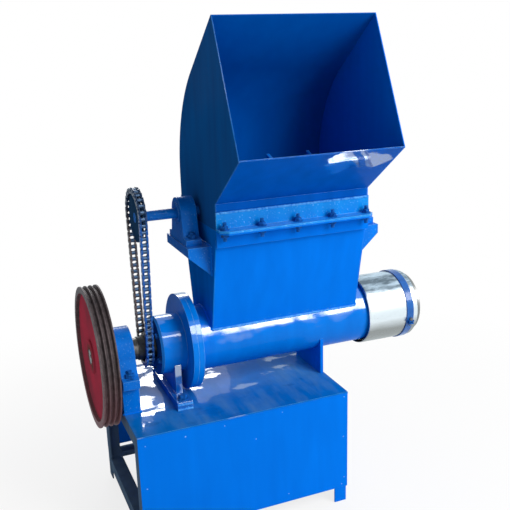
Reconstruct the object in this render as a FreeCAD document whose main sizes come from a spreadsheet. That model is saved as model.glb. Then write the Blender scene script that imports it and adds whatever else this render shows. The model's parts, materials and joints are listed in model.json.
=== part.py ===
import FreeCAD, Part
import Sketcher
import math
import os

# Foam hot melting machine: an open crusher hopper feeds a heated screw barrel on a steel stand.
# X runs along the barrel, pulley at low X and outlet at high X. The mouth faces low Y. Z is up.

doc = FreeCAD.newDocument("foam_hot_melting_machine")
sheet = doc.addObject("Spreadsheet::Sheet", "Sizes")

driving_sizes = {
    # stand
    "stand_left": -474.5,
    "stand_front": -190.75,
    "stand_length": 663.0,
    "stand_width": 489.0,
    "foot_height": 52.0,
    "angle_leg": 40.0,
    "angle_thickness": 4.0,
    "panel_thickness": 3.0,
    "back_panel_foot": 104.0,
    "top_thickness": 5.0,
    "lower_rail_height": 94.0,
    "end_rail_height": 75.0,
    # main shaft line
    "axis_height": 543.0,
    "axis_above_stand": 162.0,
    "shaft_diameter": 65.0,
    "pulley_seat_diameter": 42.0,
    "bearing_clearance": 0.05,
    "running_gap": 5.0,
    "pillow_width": 50.0,
    "pillow_length": 226.0,
    "pillow_rise": 78.0,
    "pillow_radius": 75.0,
    "pillow_foot": 26.0,
    "pillow_insert_radius": 48.0,
    "pillow_insert_width": 60.0,
    "riser_wall": 6.0,
    "riser_length": 190.0,
    # belt pulley
    "pulley_diameter": 420.0,
    "pulley_width": 50.0,
    "pulley_gap": 23.0,
    "groove_count": 3,
    "groove_pitch": 15.0,
    "groove_width": 12.5,
    "groove_depth": 11.0,
    "pulley_rim": 8.0,
    "pulley_web": 10.0,
    "pulley_dish": 10.0,
    "pulley_hub_radius": 50.0,
    "pulley_hub_length": 50.0,
    # thrust bearing drum and flanges
    "drum_offset": 134.0,
    "drum_length": 72.0,
    "drum_diameter": 180.0,
    "cover_thickness": 8.0,
    "flange_diameter": 296.0,
    "flange_thickness": 17.0,
    "support_length": 280.0,
    "support_width": 47.0,
    "support_thickness": 25.0,
    "support_setback": 8.5,
    "drum_saddle_margin": 11.0,
    "drum_saddle_thickness": 20.0,
    "drum_saddle_inset": 15.0,
    # barrel and outlet
    "barrel_diameter": 200.0,
    "barrel_wall": 10.0,
    "barrel_length": 765.0,
    "barrel_saddle_margin": 9.0,
    "barrel_saddle_thickness": 10.0,
    "barrel_saddle_inset": 4.0,
    "outlet_thickness": 17.0,
    "outlet_bore": 70.0,
    "cover_length": 185.0,
    "cover_gap": 12.0,
    "cover_sheet": 1.5,
    "strap_offset": 142.0,
    "strap_width": 24.0,
    "strap_thickness": 3.0,
    # screw
    "screw_core": 70.0,
    "screw_pitch": 104.0,
    "flight_thickness": 9.0,
    "flight_facets": 20,
    # chain drive
    "chain_offset": 100.0,
    "chain_pitch": 19.05,
    "chain_links": 64,
    "driver_teeth": 17,
    "driven_teeth": 26,
    "roller_diameter": 11.9,
    "roller_width": 12.6,
    "link_plate": 2.4,
    "link_height": 18.0,
    "sprocket_thickness": 9.0,
    "sprocket_clearance": 0.5,
    "tooth_height": 6.5,
    "driver_hub_radius": 36.0,
    "driver_hub_length": 22.0,
    "driven_hub_radius": 34.0,
    "driven_hub_length": 20.0,
    # crusher
    "rotor_shaft_diameter": 30.0,
    "rotor_sleeve_diameter": 70.0,
    "rotor_reach": 150.0,
    "blade_thickness": 10.0,
    "blade_count": 7,
    "blade_turn": 180.0,
    "small_pillow_width": 48.0,
    "small_pillow_setback": 3.0,
    "small_pillow_length": 167.0,
    "small_pillow_rise": 85.0,
    "small_pillow_radius": 47.0,
    "small_pillow_foot": 18.0,
    "small_pillow_insert_radius": 30.0,
    "small_pillow_insert_width": 54.0,
    "shelf_height": 28.0,
    "shelf_width": 69.0,
    "shelf_length": 215.0,
    "shelf_plate": 6.0,
    "gusset_drop": 62.0,
    # hopper
    "hopper_offset": 47.0,
    "hopper_to_cover": 42.0,
    "hopper_sheet": 3.0,
    "shaft_hole_gap": 4.0,
    "neck_depth": 316.0,
    "flange_rise": 374.0,
    "flange_leg": 50.0,
    "flange_sheet": 5.0,
    "flange_corner": 22.0,
    "throat_margin": 14.0,
    "neck_rise": 450.0,
    "mouth_bottom_rise": 593.0,
    "mouth_top_rise": 952.0,
    "mouth_bottom_reach": 352.0,
    "mouth_top_reach": 190.0,
    "roof_angle": 37.4,
    "back_radius": 392.0,
}

for row, (alias, number) in enumerate(driving_sizes.items(), 1):
    sheet.set(f"A{row}", alias)
    sheet.set(f"B{row}", str(number))
    sheet.setAlias(f"B{row}", alias)
doc.recompute()


def size(alias):
    return float(getattr(sheet, alias))


# Places used by several pieces, as expressions of the sheet
left = "Sizes.stand_left"
front = "Sizes.stand_front"
right = "(Sizes.stand_left + Sizes.stand_length)"
back = "(Sizes.stand_front + Sizes.stand_width)"
stand_z = "(Sizes.axis_height - Sizes.axis_above_stand)"
under_top = f"({stand_z} - Sizes.top_thickness)"
axis_y = "(Sizes.stand_front + Sizes.stand_width / 2)"
axis_z = "Sizes.axis_height"
drum_x = "(Sizes.stand_left + Sizes.drum_offset)"
housing_x = f"({drum_x} + Sizes.drum_length)"
barrel_x = f"({housing_x} + 2 * Sizes.flange_thickness)"
barrel_end = f"({barrel_x} + Sizes.barrel_length)"
chain_x = "(Sizes.stand_left + Sizes.chain_offset)"
hopper_x = f"({barrel_x} + Sizes.hopper_offset)"
cover_x = f"({barrel_end} - Sizes.cover_length)"
hopper_end = f"({cover_x} - Sizes.hopper_to_cover)"
hopper_width = f"({hopper_end} - {hopper_x})"
inner_x = f"({hopper_x} + Sizes.hopper_sheet)"
inner_width = f"({hopper_width} - 2 * Sizes.hopper_sheet)"
neck_front = "(-Sizes.neck_depth / 2)"
neck_back = "(Sizes.neck_depth / 2)"
throat_half = "(Sizes.barrel_diameter / 2 - Sizes.throat_margin)"
throat_drop = f"sqrt((Sizes.barrel_diameter / 2)^2 - {throat_half}^2)"
throat_z = f"(Sizes.axis_height + {throat_drop})"

# Chain drive: shaft distance that lets a whole number of links close the loop
pitch = size("chain_pitch")
driver_teeth = int(size("driver_teeth"))
driven_teeth = int(size("driven_teeth"))
link_count = int(size("chain_links"))
driver_radius = pitch / 2 / math.sin(math.pi / driver_teeth)
driven_radius = pitch / 2 / math.sin(math.pi / driven_teeth)


def loop_length(distance):
    spread = driven_radius - driver_radius
    lean = math.asin(spread / distance)
    straight = math.sqrt(distance ** 2 - spread ** 2)
    return 2 * straight + math.pi * (driver_radius + driven_radius) + 2 * spread * lean


shaft_distance = (link_count * pitch - math.pi * (driver_radius + driven_radius)) / 2
for _ in range(20):
    shaft_distance += (link_count * pitch - loop_length(shaft_distance)) / 2
rotor_z = f"(Sizes.axis_height + {shaft_distance})"

subparts = []


def keep(item, label):
    item.Label = label
    subparts.append(item)
    return item


def place(item, x="0", y="0", z="0"):
    item.setExpression("Placement.Base.x", x)
    item.setExpression("Placement.Base.y", y)
    item.setExpression("Placement.Base.z", z)


def block(label, corner, extent):
    box = doc.addObject("Part::Box", label)
    for prop, expression in zip(("Length", "Width", "Height"), extent):
        box.setExpression(prop, expression)
    place(box, *corner)
    return box


def rod(label, start_x, y, z, radius, length):
    bar = doc.addObject("Part::Cylinder", label)
    bar.setExpression("Radius", radius)
    bar.setExpression("Height", length)
    bar.Placement = FreeCAD.Placement(FreeCAD.Vector(), FreeCAD.Rotation(FreeCAD.Vector(0, 1, 0), 90))
    place(bar, start_x, y, z)
    return bar


def cut(label, base, tool):
    result = doc.addObject("Part::Cut", label)
    result.Base = base
    result.Tool = tool
    return result


def fuse(label, *pieces):
    result = doc.addObject("Part::MultiFuse", label)
    result.Shapes = pieces
    return result


working = doc.addObject("Spreadsheet::Sheet", "Working")


def number(expression):
    """Value of an expression of the sheet, worked out in a cell of its own."""
    working.set("A1", f"={expression}")
    working.recompute()
    return float(working.get("A1"))


def new_sketch(body, plane, name):
    sketch = body.newObject("Sketcher::SketchObject", name)
    origin_plane = [item for item in body.Origin.OriginFeatures if item.Role == plane][0]
    sketch.AttachmentSupport = [(origin_plane, "")]
    sketch.MapMode = "FlatFace"
    return sketch


def pin_point(sketch, index, point, corner):
    for kind, expression in zip(("DistanceX", "DistanceY"), corner):
        constraint = sketch.addConstraint(
            Sketcher.Constraint(kind, -1, 1, index, point, number(expression)))
        sketch.setExpression(f"Constraints[{constraint}]", expression)


def draw_outline(sketch, corners, arcs=None):
    """Closed outline through corners. arcs maps a segment to its radius and turning side."""
    arcs = arcs or {}
    points = [FreeCAD.Vector(number(u), number(v), 0) for u, v in corners]
    first = sketch.GeometryCount
    for index, start in enumerate(points):
        end = points[(index + 1) % len(points)]
        if index in arcs:
            radius, side = arcs[index]
            chord = end - start
            rise = math.sqrt(max(number(radius) ** 2 - (chord.Length / 2) ** 2, 0))
            normal = FreeCAD.Vector(-chord.y, chord.x, 0).normalize() * side
            centre = (start + end) * 0.5 + normal * rise
            circle = Part.Circle(centre, FreeCAD.Vector(0, 0, 1), number(radius))
            begin = math.atan2(start.y - centre.y, start.x - centre.x)
            finish = math.atan2(end.y - centre.y, end.x - centre.x)
            if side < 0:
                begin, finish = finish, begin
            sketch.addGeometry(Part.ArcOfCircle(circle, begin, finish))
        else:
            sketch.addGeometry(Part.LineSegment(start, end))

    def ends(index):
        if index in arcs and arcs[index][1] < 0:
            return 2, 1
        return 1, 2

    for index in range(len(points)):
        after = (index + 1) % len(points)
        sketch.addConstraint(Sketcher.Constraint(
            "Coincident", first + index, ends(index)[1], first + after, ends(after)[0]))
    for index, corner in enumerate(corners):
        pin_point(sketch, first + index, ends(index)[0], corner)
    for index, (radius, _) in arcs.items():
        constraint = sketch.addConstraint(
            Sketcher.Constraint("Radius", first + index, number(radius)))
        sketch.setExpression(f"Constraints[{constraint}]", radius)


def draw_circle(sketch, centre, radius):
    middle = FreeCAD.Vector(number(centre[0]), number(centre[1]), 0)
    index = sketch.addGeometry(Part.Circle(middle, FreeCAD.Vector(0, 0, 1), number(radius)))
    pin_point(sketch, index, 3, centre)
    constraint = sketch.addConstraint(Sketcher.Constraint("Radius", index, number(radius)))
    sketch.setExpression(f"Constraints[{constraint}]", radius)


def pad(body, sketch, length, reverse=False, midplane=False):
    feature = body.newObject("PartDesign::Pad", f"{sketch.Name}_pad")
    feature.Profile = sketch
    feature.setExpression("Length", length)
    feature.Reversed = reverse
    feature.Midplane = midplane
    return feature


def pocket(body, sketch):
    feature = body.newObject("PartDesign::Pocket", f"{sketch.Name}_pocket")
    feature.Profile = sketch
    feature.Type = "ThroughAll"
    feature.Midplane = True
    return feature


def plate_across(label, corners, start_x, thickness, y, z="0", arcs=None, holes=()):
    """Plate square to X, its outline in Y and Z."""
    body = doc.addObject("PartDesign::Body", label)
    sketch = new_sketch(body, "YZ_Plane", f"{label}_outline")
    draw_outline(sketch, corners, arcs)
    for centre, radius in holes:
        draw_circle(sketch, centre, radius)
    pad(body, sketch, thickness)
    place(body, start_x, y, z)
    return body


def bar_along(label, plane, corners, length, base, reverse=False):
    """Constant section drawn on an origin plane and drawn out to length."""
    body = doc.addObject("PartDesign::Body", label)
    sketch = new_sketch(body, plane, f"{label}_section")
    draw_outline(sketch, corners)
    pad(body, sketch, length, reverse)
    place(body, *base)
    return body


def turned(label, profile, base):
    """Body turned about the X axis from a profile of distances along X and radii."""
    body = doc.addObject("PartDesign::Body", label)
    sketch = new_sketch(body, "XZ_Plane", f"{label}_profile")
    draw_outline(sketch, profile)
    spin = body.newObject("PartDesign::Revolution", f"{label}_turn")
    spin.Profile = sketch
    spin.ReferenceAxis = (sketch, ["H_Axis"])
    spin.Angle = 360
    place(body, *base)
    return body


# Stand: four angle posts, rails and sheet panels, open at the drive end
stand_top = keep(block(
    "stand_top", (left, front, under_top),
    ("Sizes.stand_length", "Sizes.stand_width", "Sizes.top_thickness")), "stand_top")
panel_height = f"{under_top} - Sizes.foot_height"
keep(block("front_panel", (left, front, "Sizes.foot_height"),
           ("Sizes.stand_length", "Sizes.panel_thickness", panel_height)), "front_panel")
keep(block("back_panel", (left, f"{back} - Sizes.panel_thickness", "Sizes.back_panel_foot"),
           ("Sizes.stand_length", "Sizes.panel_thickness", f"{under_top} - Sizes.back_panel_foot")),
     "back_panel")
keep(block("end_panel",
           (f"{right} - Sizes.panel_thickness", f"{front} + Sizes.panel_thickness", "Sizes.foot_height"),
           ("Sizes.panel_thickness", "Sizes.stand_width - 2 * Sizes.panel_thickness", panel_height)),
     "end_panel")


def angle_section(across, up):
    leg = "Sizes.angle_leg"
    wall = "Sizes.angle_thickness"
    return [("0", "0"), (f"{across} * {leg}", "0"), (f"{across} * {leg}", f"{up} * {wall}"),
            (f"{across} * {wall}", f"{up} * {wall}"), (f"{across} * {wall}", f"{up} * {leg}"),
            ("0", f"{up} * {leg}")]


post_left = left
post_right = f"({right} - Sizes.panel_thickness)"
post_front = f"({front} + Sizes.panel_thickness)"
post_back = f"({back} - Sizes.panel_thickness)"
for label, x, y, across, up in (
        ("post_front_left", post_left, post_front, 1, 1),
        ("post_front_right", post_right, post_front, -1, 1),
        ("post_back_left", post_left, post_back, 1, -1),
        ("post_back_right", post_right, post_back, -1, -1)):
    keep(bar_along(label, "XY_Plane", angle_section(across, up), under_top, (x, y, "0")), label)

side_rail = "Sizes.stand_width - 2 * Sizes.panel_thickness - 2 * Sizes.angle_leg"
long_rail = "Sizes.stand_length - Sizes.panel_thickness - 2 * Sizes.angle_leg"
keep(bar_along("top_rail_left", "XZ_Plane", angle_section(1, -1), side_rail,
               (post_left, f"{post_front} + Sizes.angle_leg", under_top), True), "top_rail_left")
keep(bar_along("top_rail_right", "XZ_Plane", angle_section(-1, -1), side_rail,
               (post_right, f"{post_front} + Sizes.angle_leg", under_top), True), "top_rail_right")
keep(bar_along("top_rail_front", "YZ_Plane", angle_section(1, -1), long_rail,
               (f"{post_left} + Sizes.angle_leg", post_front, under_top)), "top_rail_front")
keep(bar_along("top_rail_back", "YZ_Plane", angle_section(-1, -1), long_rail,
               (f"{post_left} + Sizes.angle_leg", post_back, under_top)), "top_rail_back")
keep(bar_along("lower_rail_back", "YZ_Plane", angle_section(-1, -1), long_rail,
               (f"{post_left} + Sizes.angle_leg", post_back, "Sizes.lower_rail_height")), "lower_rail_back")
keep(bar_along("lower_rail_left", "XZ_Plane", angle_section(1, -1), side_rail,
               (post_left, f"{post_front} + Sizes.angle_leg", "Sizes.end_rail_height"), True),
     "lower_rail_left")


def pillow_block(label, prefix, shaft, x, y, z):
    """Cast bearing housing on two feet. z is the shaft height."""
    half = f"Sizes.{prefix}_length / 2"
    foot = f"Sizes.{prefix}_foot"
    radius = f"Sizes.{prefix}_radius"
    rise = f"Sizes.{prefix}_rise"
    corners = [(f"-{half}", "0"), (half, "0"), (half, foot), (f"{radius} * 1.25", f"{foot} * 1.25"),
               (radius, rise), (f"-{radius}", rise), (f"-{radius} * 1.25", f"{foot} * 1.25"),
               (f"-{half}", foot)]
    body = doc.addObject("PartDesign::Body", label)
    sketch = new_sketch(body, "YZ_Plane", f"{label}_outline")
    draw_outline(sketch, corners, {4: (f"{radius} + 0.001", 1)})
    pad(body, sketch, f"Sizes.{prefix}_width", midplane=True)
    insert = new_sketch(body, "YZ_Plane", f"{label}_insert")
    draw_circle(insert, ("0", rise), f"Sizes.{prefix}_insert_radius")
    pad(body, insert, f"Sizes.{prefix}_insert_width", midplane=True)
    bore = new_sketch(body, "YZ_Plane", f"{label}_bore")
    draw_circle(bore, ("0", rise), f"{shaft} / 2 + Sizes.bearing_clearance")
    pocket(body, bore)
    place(body, x, y, f"{z} - {rise}")
    return body


pillow_x = "(Sizes.stand_left + Sizes.pillow_width / 2)"
keep(pillow_block("main_pillow_block", "pillow", "Sizes.shaft_diameter", pillow_x, axis_y, axis_z),
     "main_pillow_block")
riser_height = "(Sizes.axis_above_stand - Sizes.pillow_rise)"
riser_y = f"({axis_y} - Sizes.riser_length / 2)"
riser_outer = block("riser_outer", (left, riser_y, stand_z),
                    ("Sizes.pillow_width", "Sizes.riser_length", riser_height))
riser_inner = block(
    "riser_inner",
    (f"{left} + Sizes.riser_wall", f"{riser_y} + Sizes.riser_wall", f"{stand_z} - Sizes.riser_wall"),
    ("Sizes.pillow_width - 2 * Sizes.riser_wall", "Sizes.riser_length - 2 * Sizes.riser_wall", riser_height))
keep(cut("pillow_riser", riser_outer, riser_inner), "pillow_riser")

# Bearing drum, its end cover and the bolted flange pair
shaft_fit = "Sizes.shaft_diameter / 2 + Sizes.bearing_clearance"
shaft_gap = "Sizes.shaft_diameter / 2 + Sizes.running_gap"


def ring(label, x, inner, outer, length):
    profile = [("0", inner), (length, inner), (length, outer), ("0", outer)]
    return keep(turned(label, profile, (x, axis_y, axis_z)), label)


ring("drum_end_cover", f"{drum_x} - Sizes.cover_thickness", shaft_gap, "Sizes.drum_diameter / 2",
     "Sizes.cover_thickness")
housing_length = "Sizes.drum_length + Sizes.flange_thickness"
keep(turned("bearing_drum", [
    ("0", shaft_fit), (housing_length, shaft_fit), (housing_length, "Sizes.flange_diameter / 2"),
    ("Sizes.drum_length", "Sizes.flange_diameter / 2"), ("Sizes.drum_length", "Sizes.drum_diameter / 2"),
    ("0", "Sizes.drum_diameter / 2")], (drum_x, axis_y, axis_z)), "bearing_drum")
ring("barrel_flange", f"{housing_x} + Sizes.flange_thickness", shaft_gap, "Sizes.flange_diameter / 2",
     "Sizes.flange_thickness")

# Drum support: base bar across the stand and one saddle plate
support_x = f"({housing_x} - Sizes.support_width - Sizes.support_setback)"
support_base = block("support_base", (support_x, f"{axis_y} - Sizes.support_length / 2", stand_z),
                     ("Sizes.support_width", "Sizes.support_length", "Sizes.support_thickness"))


def saddle(label, x, width, diameter, bottom, thickness):
    """Upright plate whose top is cut to the round piece that it carries."""
    half = f"({width} / 2)"
    drop = f"sqrt(({diameter} / 2)^2 - {half}^2)"
    corners = [(f"-{half}", f"{bottom} - {axis_z}"), (half, f"{bottom} - {axis_z}"), (half, f"-{drop}"),
               (f"-{half}", f"-{drop}")]
    body = doc.addObject("PartDesign::Body", label)
    sketch = new_sketch(body, "YZ_Plane", f"{label}_outline")
    draw_outline(sketch, corners, {2: (f"{diameter} / 2", -1)})
    pad(body, sketch, thickness)
    place(body, x, axis_y, axis_z)
    return body


drum_saddle = saddle("drum_saddle", f"{support_x} + Sizes.drum_saddle_inset",
                     "(Sizes.drum_diameter - 2 * Sizes.drum_saddle_margin)", "Sizes.drum_diameter",
                     f"({stand_z} + Sizes.support_thickness)", "Sizes.drum_saddle_thickness")
keep(fuse("drum_support", support_base, drum_saddle), "drum_support")
keep(saddle("barrel_support", f"{right} - Sizes.barrel_saddle_thickness - Sizes.barrel_saddle_inset",
            "(Sizes.barrel_diameter - 2 * Sizes.barrel_saddle_margin)", "Sizes.barrel_diameter", stand_z,
            "Sizes.barrel_saddle_thickness"), "barrel_support")

# Barrel with its feed slot, the outlet plate and the heater covers
barrel_tube = turned("barrel_tube", [
    ("0", "Sizes.barrel_diameter / 2 - Sizes.barrel_wall"),
    ("Sizes.barrel_length", "Sizes.barrel_diameter / 2 - Sizes.barrel_wall"),
    ("Sizes.barrel_length", "Sizes.barrel_diameter / 2"), ("0", "Sizes.barrel_diameter / 2")],
    (barrel_x, axis_y, axis_z))
feed_slot = block(
    "feed_slot",
    (inner_x, f"{axis_y} - {throat_half}", throat_z),
    (inner_width, f"2 * {throat_half}", "Sizes.barrel_diameter / 2"))
keep(cut("barrel", barrel_tube, feed_slot), "barrel")
ring("outlet_plate", barrel_end, "Sizes.outlet_bore / 2", "Sizes.barrel_diameter / 2",
     "Sizes.outlet_thickness")
cover_radius = "Sizes.barrel_diameter / 2 + Sizes.cover_gap"
strap_x = f"({cover_x} + Sizes.strap_offset)"


def heater_cover(label, x, length, open_side):
    """Sheet drum round the barrel with a turned-in lip at one end."""
    sheet_wall = "Sizes.cover_sheet"
    inner = f"{cover_radius}"
    outer = f"{cover_radius} + {sheet_wall}"
    lip = "Sizes.barrel_diameter / 2"
    if open_side == "right":
        profile = [("0", lip), (sheet_wall, lip), (sheet_wall, inner), (length, inner), (length, outer),
                   ("0", outer)]
    else:
        profile = [("0", inner), (f"{length} - {sheet_wall}", inner), (f"{length} - {sheet_wall}", lip),
                   (length, lip), (length, outer), ("0", outer)]
    return keep(turned(label, profile, (x, axis_y, axis_z)), label)


heater_cover("heater_cover_inner", cover_x,
             "Sizes.strap_offset + Sizes.strap_width / 2", "right")
heater_cover("heater_cover_outer", f"{strap_x} + Sizes.strap_width / 2",
             "Sizes.cover_length - Sizes.strap_offset - Sizes.strap_width / 2", "left")
strap_inner = f"{cover_radius} + Sizes.cover_sheet"
ring("heater_strap", strap_x, strap_inner, f"{strap_inner} + Sizes.strap_thickness", "Sizes.strap_width")

# Lower chamber: four plates that taper from the flange down onto the barrel
wall = "Sizes.hopper_sheet"
throat_front = f"(-{throat_half})"
throat_back = throat_half
flange_z = "(Sizes.axis_height + Sizes.flange_rise)"
neck_top = "(Sizes.axis_height + Sizes.neck_rise)"
mouth_bottom = "(Sizes.axis_height + Sizes.mouth_bottom_rise)"
mouth_top = "(Sizes.axis_height + Sizes.mouth_top_rise)"
keep(plate_across("chamber_front", [
    (throat_front, throat_z), (f"{throat_front} + {wall}", throat_z), (f"{neck_front} + {wall}", flange_z),
    (neck_front, flange_z)], inner_x, inner_width, axis_y), "chamber_front")
keep(plate_across("chamber_back", [
    (f"{throat_back} - {wall}", throat_z), (throat_back, throat_z), (neck_back, flange_z),
    (f"{neck_back} - {wall}", flange_z)], inner_x, inner_width, axis_y), "chamber_back")
chamber_side = [(throat_front, throat_z), (throat_back, throat_z), (neck_back, flange_z),
                (neck_front, flange_z)]
chamber_arc = {0: ("Sizes.barrel_diameter / 2", -1)}
keep(plate_across("chamber_side_left", chamber_side, hopper_x, wall, axis_y, arcs=chamber_arc),
     "chamber_side_left")
keep(plate_across("chamber_side_right", chamber_side, f"{hopper_end} - {wall}", wall, axis_y,
                  arcs=chamber_arc), "chamber_side_right")

# Bolted angle joint between chamber and hopper, front and back
leg = "Sizes.flange_leg"
thick = "Sizes.flange_sheet"


def flange_angle(label, side, up):
    """One angle on the joint. side is -1 in front and 1 behind, up is 1 above the joint."""
    face = f"({side} * Sizes.neck_depth / 2)"
    corners = [(face, f"{flange_z}"), (f"{face} + {side} * {leg}", f"{flange_z}"),
               (f"{face} + {side} * {leg}", f"{flange_z} + {up} * {thick}"),
               (f"{face} + {side} * {thick}", f"{flange_z} + {up} * {thick}"),
               (f"{face} + {side} * {thick}", f"{flange_z} + {up} * {leg}"),
               (face, f"{flange_z} + {up} * {leg}")]
    body = plate_across(label, corners, hopper_x, hopper_width, axis_y)
    tip = f"({face} + {side} * {leg})"
    slope = f"({tip} - {side} * Sizes.flange_corner)"
    trim = new_sketch(body, "XY_Plane", f"{label}_trim")
    draw_outline(trim, [("0", slope), ("0", tip), ("Sizes.flange_corner", tip)])
    draw_outline(trim, [(hopper_width, slope), (hopper_width, tip),
                        (f"{hopper_width} - Sizes.flange_corner", tip)])
    feature = pocket(body, trim)
    feature.Midplane = False
    feature.Reversed = True
    return keep(body, label)


flange_angle("hopper_flange_front", -1, 1)
flange_angle("hopper_flange_back", 1, 1)
flange_angle("chamber_flange_front", -1, -1)
flange_angle("chamber_flange_back", 1, -1)

# Hopper: side plates, a folded front and a curved back, open at the mouth
mouth_low = "(-Sizes.mouth_bottom_reach)"
mouth_high = "(-Sizes.mouth_top_reach)"
lean = "Sizes.roof_angle * 1deg"
bend = "Sizes.back_radius"
bend_y = f"({neck_back} - {bend})"
roof_run = f"({bend_y} + {bend} * sin({lean}) - {mouth_high})"
roof_z = f"({mouth_top} - tan({lean}) * {roof_run})"
bend_z = f"({roof_z} - {bend} * cos({lean}))"
hopper_side = [(neck_front, flange_z), (neck_back, flange_z), (neck_back, bend_z),
               (f"{bend_y} + {bend} * sin({lean})", roof_z), (mouth_high, mouth_top),
               (mouth_low, mouth_bottom), (neck_front, neck_top)]
shaft_hole = [(("0", rotor_z), "Sizes.rotor_shaft_diameter / 2 + Sizes.shaft_hole_gap")]
keep(plate_across("hopper_side_left", hopper_side, hopper_x, wall, axis_y, arcs={2: (bend, 1)},
                  holes=shaft_hole), "hopper_side_left")
keep(plate_across("hopper_side_right", hopper_side, f"{hopper_end} - {wall}", wall, axis_y,
                  arcs={2: (bend, 1)}, holes=shaft_hole), "hopper_side_right")
keep(plate_across("hopper_front", [
    (neck_front, flange_z), (f"{neck_front} + {wall}", flange_z),
    (f"{neck_front} + {wall}", f"{neck_top} + {wall}"),
    (mouth_low, f"{mouth_bottom} + {wall}"), (mouth_low, mouth_bottom),
    (neck_front, neck_top)], inner_x, inner_width, axis_y), "hopper_front")
keep(plate_across("hopper_back", [
    (f"{neck_back} - {wall}", flange_z), (neck_back, flange_z), (neck_back, bend_z),
    (f"{bend_y} + {bend} * sin({lean})", roof_z), (mouth_high, mouth_top),
    (f"{mouth_high} - {wall} * sin({lean})", f"{mouth_top} - {wall} * cos({lean})"),
    (f"{bend_y} + ({bend} - {wall}) * sin({lean})", f"{bend_z} + ({bend} - {wall}) * cos({lean})"),
    (f"{neck_back} - {wall}", bend_z)], inner_x, inner_width, axis_y,
    arcs={2: (bend, 1), 6: (f"{bend} - {wall}", -1)}), "hopper_back")

# Rotor bearings on brackets each side of the hopper
shelf_top = f"({rotor_z} - Sizes.small_pillow_rise)"


def bearing_shelf(label, side, wall_x):
    """Channel welded to the chamber side with a gusset under each end."""
    x = f"{wall_x} - Sizes.shelf_width" if side < 0 else wall_x
    hollow_x = f"{x} + Sizes.shelf_plate" if side < 0 else x
    shelf_front = f"({axis_y} - Sizes.shelf_length / 2)"
    bottom = f"({shelf_top} - Sizes.shelf_height)"
    outer = block(f"{label}_block", (x, shelf_front, bottom),
                  ("Sizes.shelf_width", "Sizes.shelf_length", "Sizes.shelf_height"))
    hollow = block(f"{label}_hollow", (hollow_x, shelf_front, bottom),
                   ("Sizes.shelf_width - Sizes.shelf_plate", "Sizes.shelf_length",
                    "Sizes.shelf_height - Sizes.shelf_plate"))
    pieces = [cut(f"{label}_channel", outer, hollow)]
    corners = [("0", "Sizes.shelf_height - Sizes.shelf_plate"),
               (f"{side} * Sizes.shelf_width", "Sizes.shelf_height - Sizes.shelf_plate"),
               (f"{side} * Sizes.shelf_width", "0"), ("0", "-Sizes.gusset_drop")]
    shelf_back = f"{shelf_front} + Sizes.shelf_length - Sizes.shelf_plate"
    for end, y in (("front", shelf_front), ("back", shelf_back)):
        pieces.append(bar_along(f"{label}_{end}_gusset", "XZ_Plane", corners, "Sizes.shelf_plate",
                                (wall_x, y, bottom), True))
    return keep(fuse(label, *pieces), label)


bearing_shelf("bearing_shelf_left", -1, hopper_x)
bearing_shelf("bearing_shelf_right", 1, hopper_end)
small_x = "(Sizes.shelf_width - Sizes.small_pillow_setback - Sizes.small_pillow_width / 2)"
keep(pillow_block("rotor_pillow_left", "small_pillow", "Sizes.rotor_shaft_diameter",
                  f"{hopper_x} - {small_x}", axis_y, rotor_z), "rotor_pillow_left")
keep(pillow_block("rotor_pillow_right", "small_pillow", "Sizes.rotor_shaft_diameter",
                  f"{hopper_end} + {small_x}", axis_y, rotor_z), "rotor_pillow_right")

# Main shaft with a smaller seat for the pulley, and the pulley
pulley_x = "(Sizes.stand_left - Sizes.pulley_gap - Sizes.pulley_width)"
hub_front = "Sizes.pulley_dish / 2"
hub_back = "Sizes.pulley_dish / 2 + Sizes.pulley_hub_length"
shaft_radius = "Sizes.shaft_diameter / 2"
seat_radius = "Sizes.pulley_seat_diameter / 2"
shaft_length = f"({barrel_x} - {pulley_x} - {hub_front})"
keep(turned("main_shaft", [
    ("0", "0"), (shaft_length, "0"), (shaft_length, shaft_radius), ("Sizes.pulley_hub_length", shaft_radius),
    ("Sizes.pulley_hub_length", seat_radius), ("0", seat_radius)],
    (f"{pulley_x} + {hub_front}", axis_y, axis_z)), "main_shaft")
rim = "Sizes.pulley_diameter / 2"
groove_edge = "(Sizes.pulley_width - (Sizes.groove_count - 1) * Sizes.groove_pitch) / 2"
groove_slope = math.tan(math.radians(19))
pulley_profile = [("0", rim)]
for groove in range(int(size("groove_count"))):
    middle = f"{groove_edge} + {groove} * Sizes.groove_pitch"
    mouth = "Sizes.groove_width / 2"
    floor = f"(Sizes.groove_width / 2 - Sizes.groove_depth * {groove_slope:.4f})"
    pulley_profile += [(f"{middle} - {mouth}", rim), (f"{middle} - {floor}", f"{rim} - Sizes.groove_depth"),
                       (f"{middle} + {floor}", f"{rim} - Sizes.groove_depth"), (f"{middle} + {mouth}", rim)]
rim_inside = f"{rim} - Sizes.groove_depth - Sizes.pulley_rim"
web_back = "Sizes.pulley_dish + Sizes.pulley_web"
hub = "Sizes.pulley_hub_radius"
pulley_profile += [
    ("Sizes.pulley_width", rim), ("Sizes.pulley_width", rim_inside), (web_back, rim_inside), (web_back, hub),
    (hub_back, hub), (hub_back, seat_radius), (hub_front, seat_radius), (hub_front, hub),
    ("Sizes.pulley_dish", hub), ("Sizes.pulley_dish", rim_inside), ("0", rim_inside)]
keep(turned("pulley", pulley_profile, (pulley_x, axis_y, axis_z)), "pulley")


def toothed_disc(teeth, tip, root):
    """Sprocket disc outline, four corners to a tooth."""
    corners = []
    for tooth in range(teeth):
        for share, radius in ((0.0, root), (0.22, root), (0.42, tip), (0.80, tip)):
            angle = 2 * math.pi * (tooth + share) / teeth
            corners.append(FreeCAD.Vector(0, radius * math.cos(angle), radius * math.sin(angle)))
    return Part.Face(Part.makePolygon(corners + corners[:1]))


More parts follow.
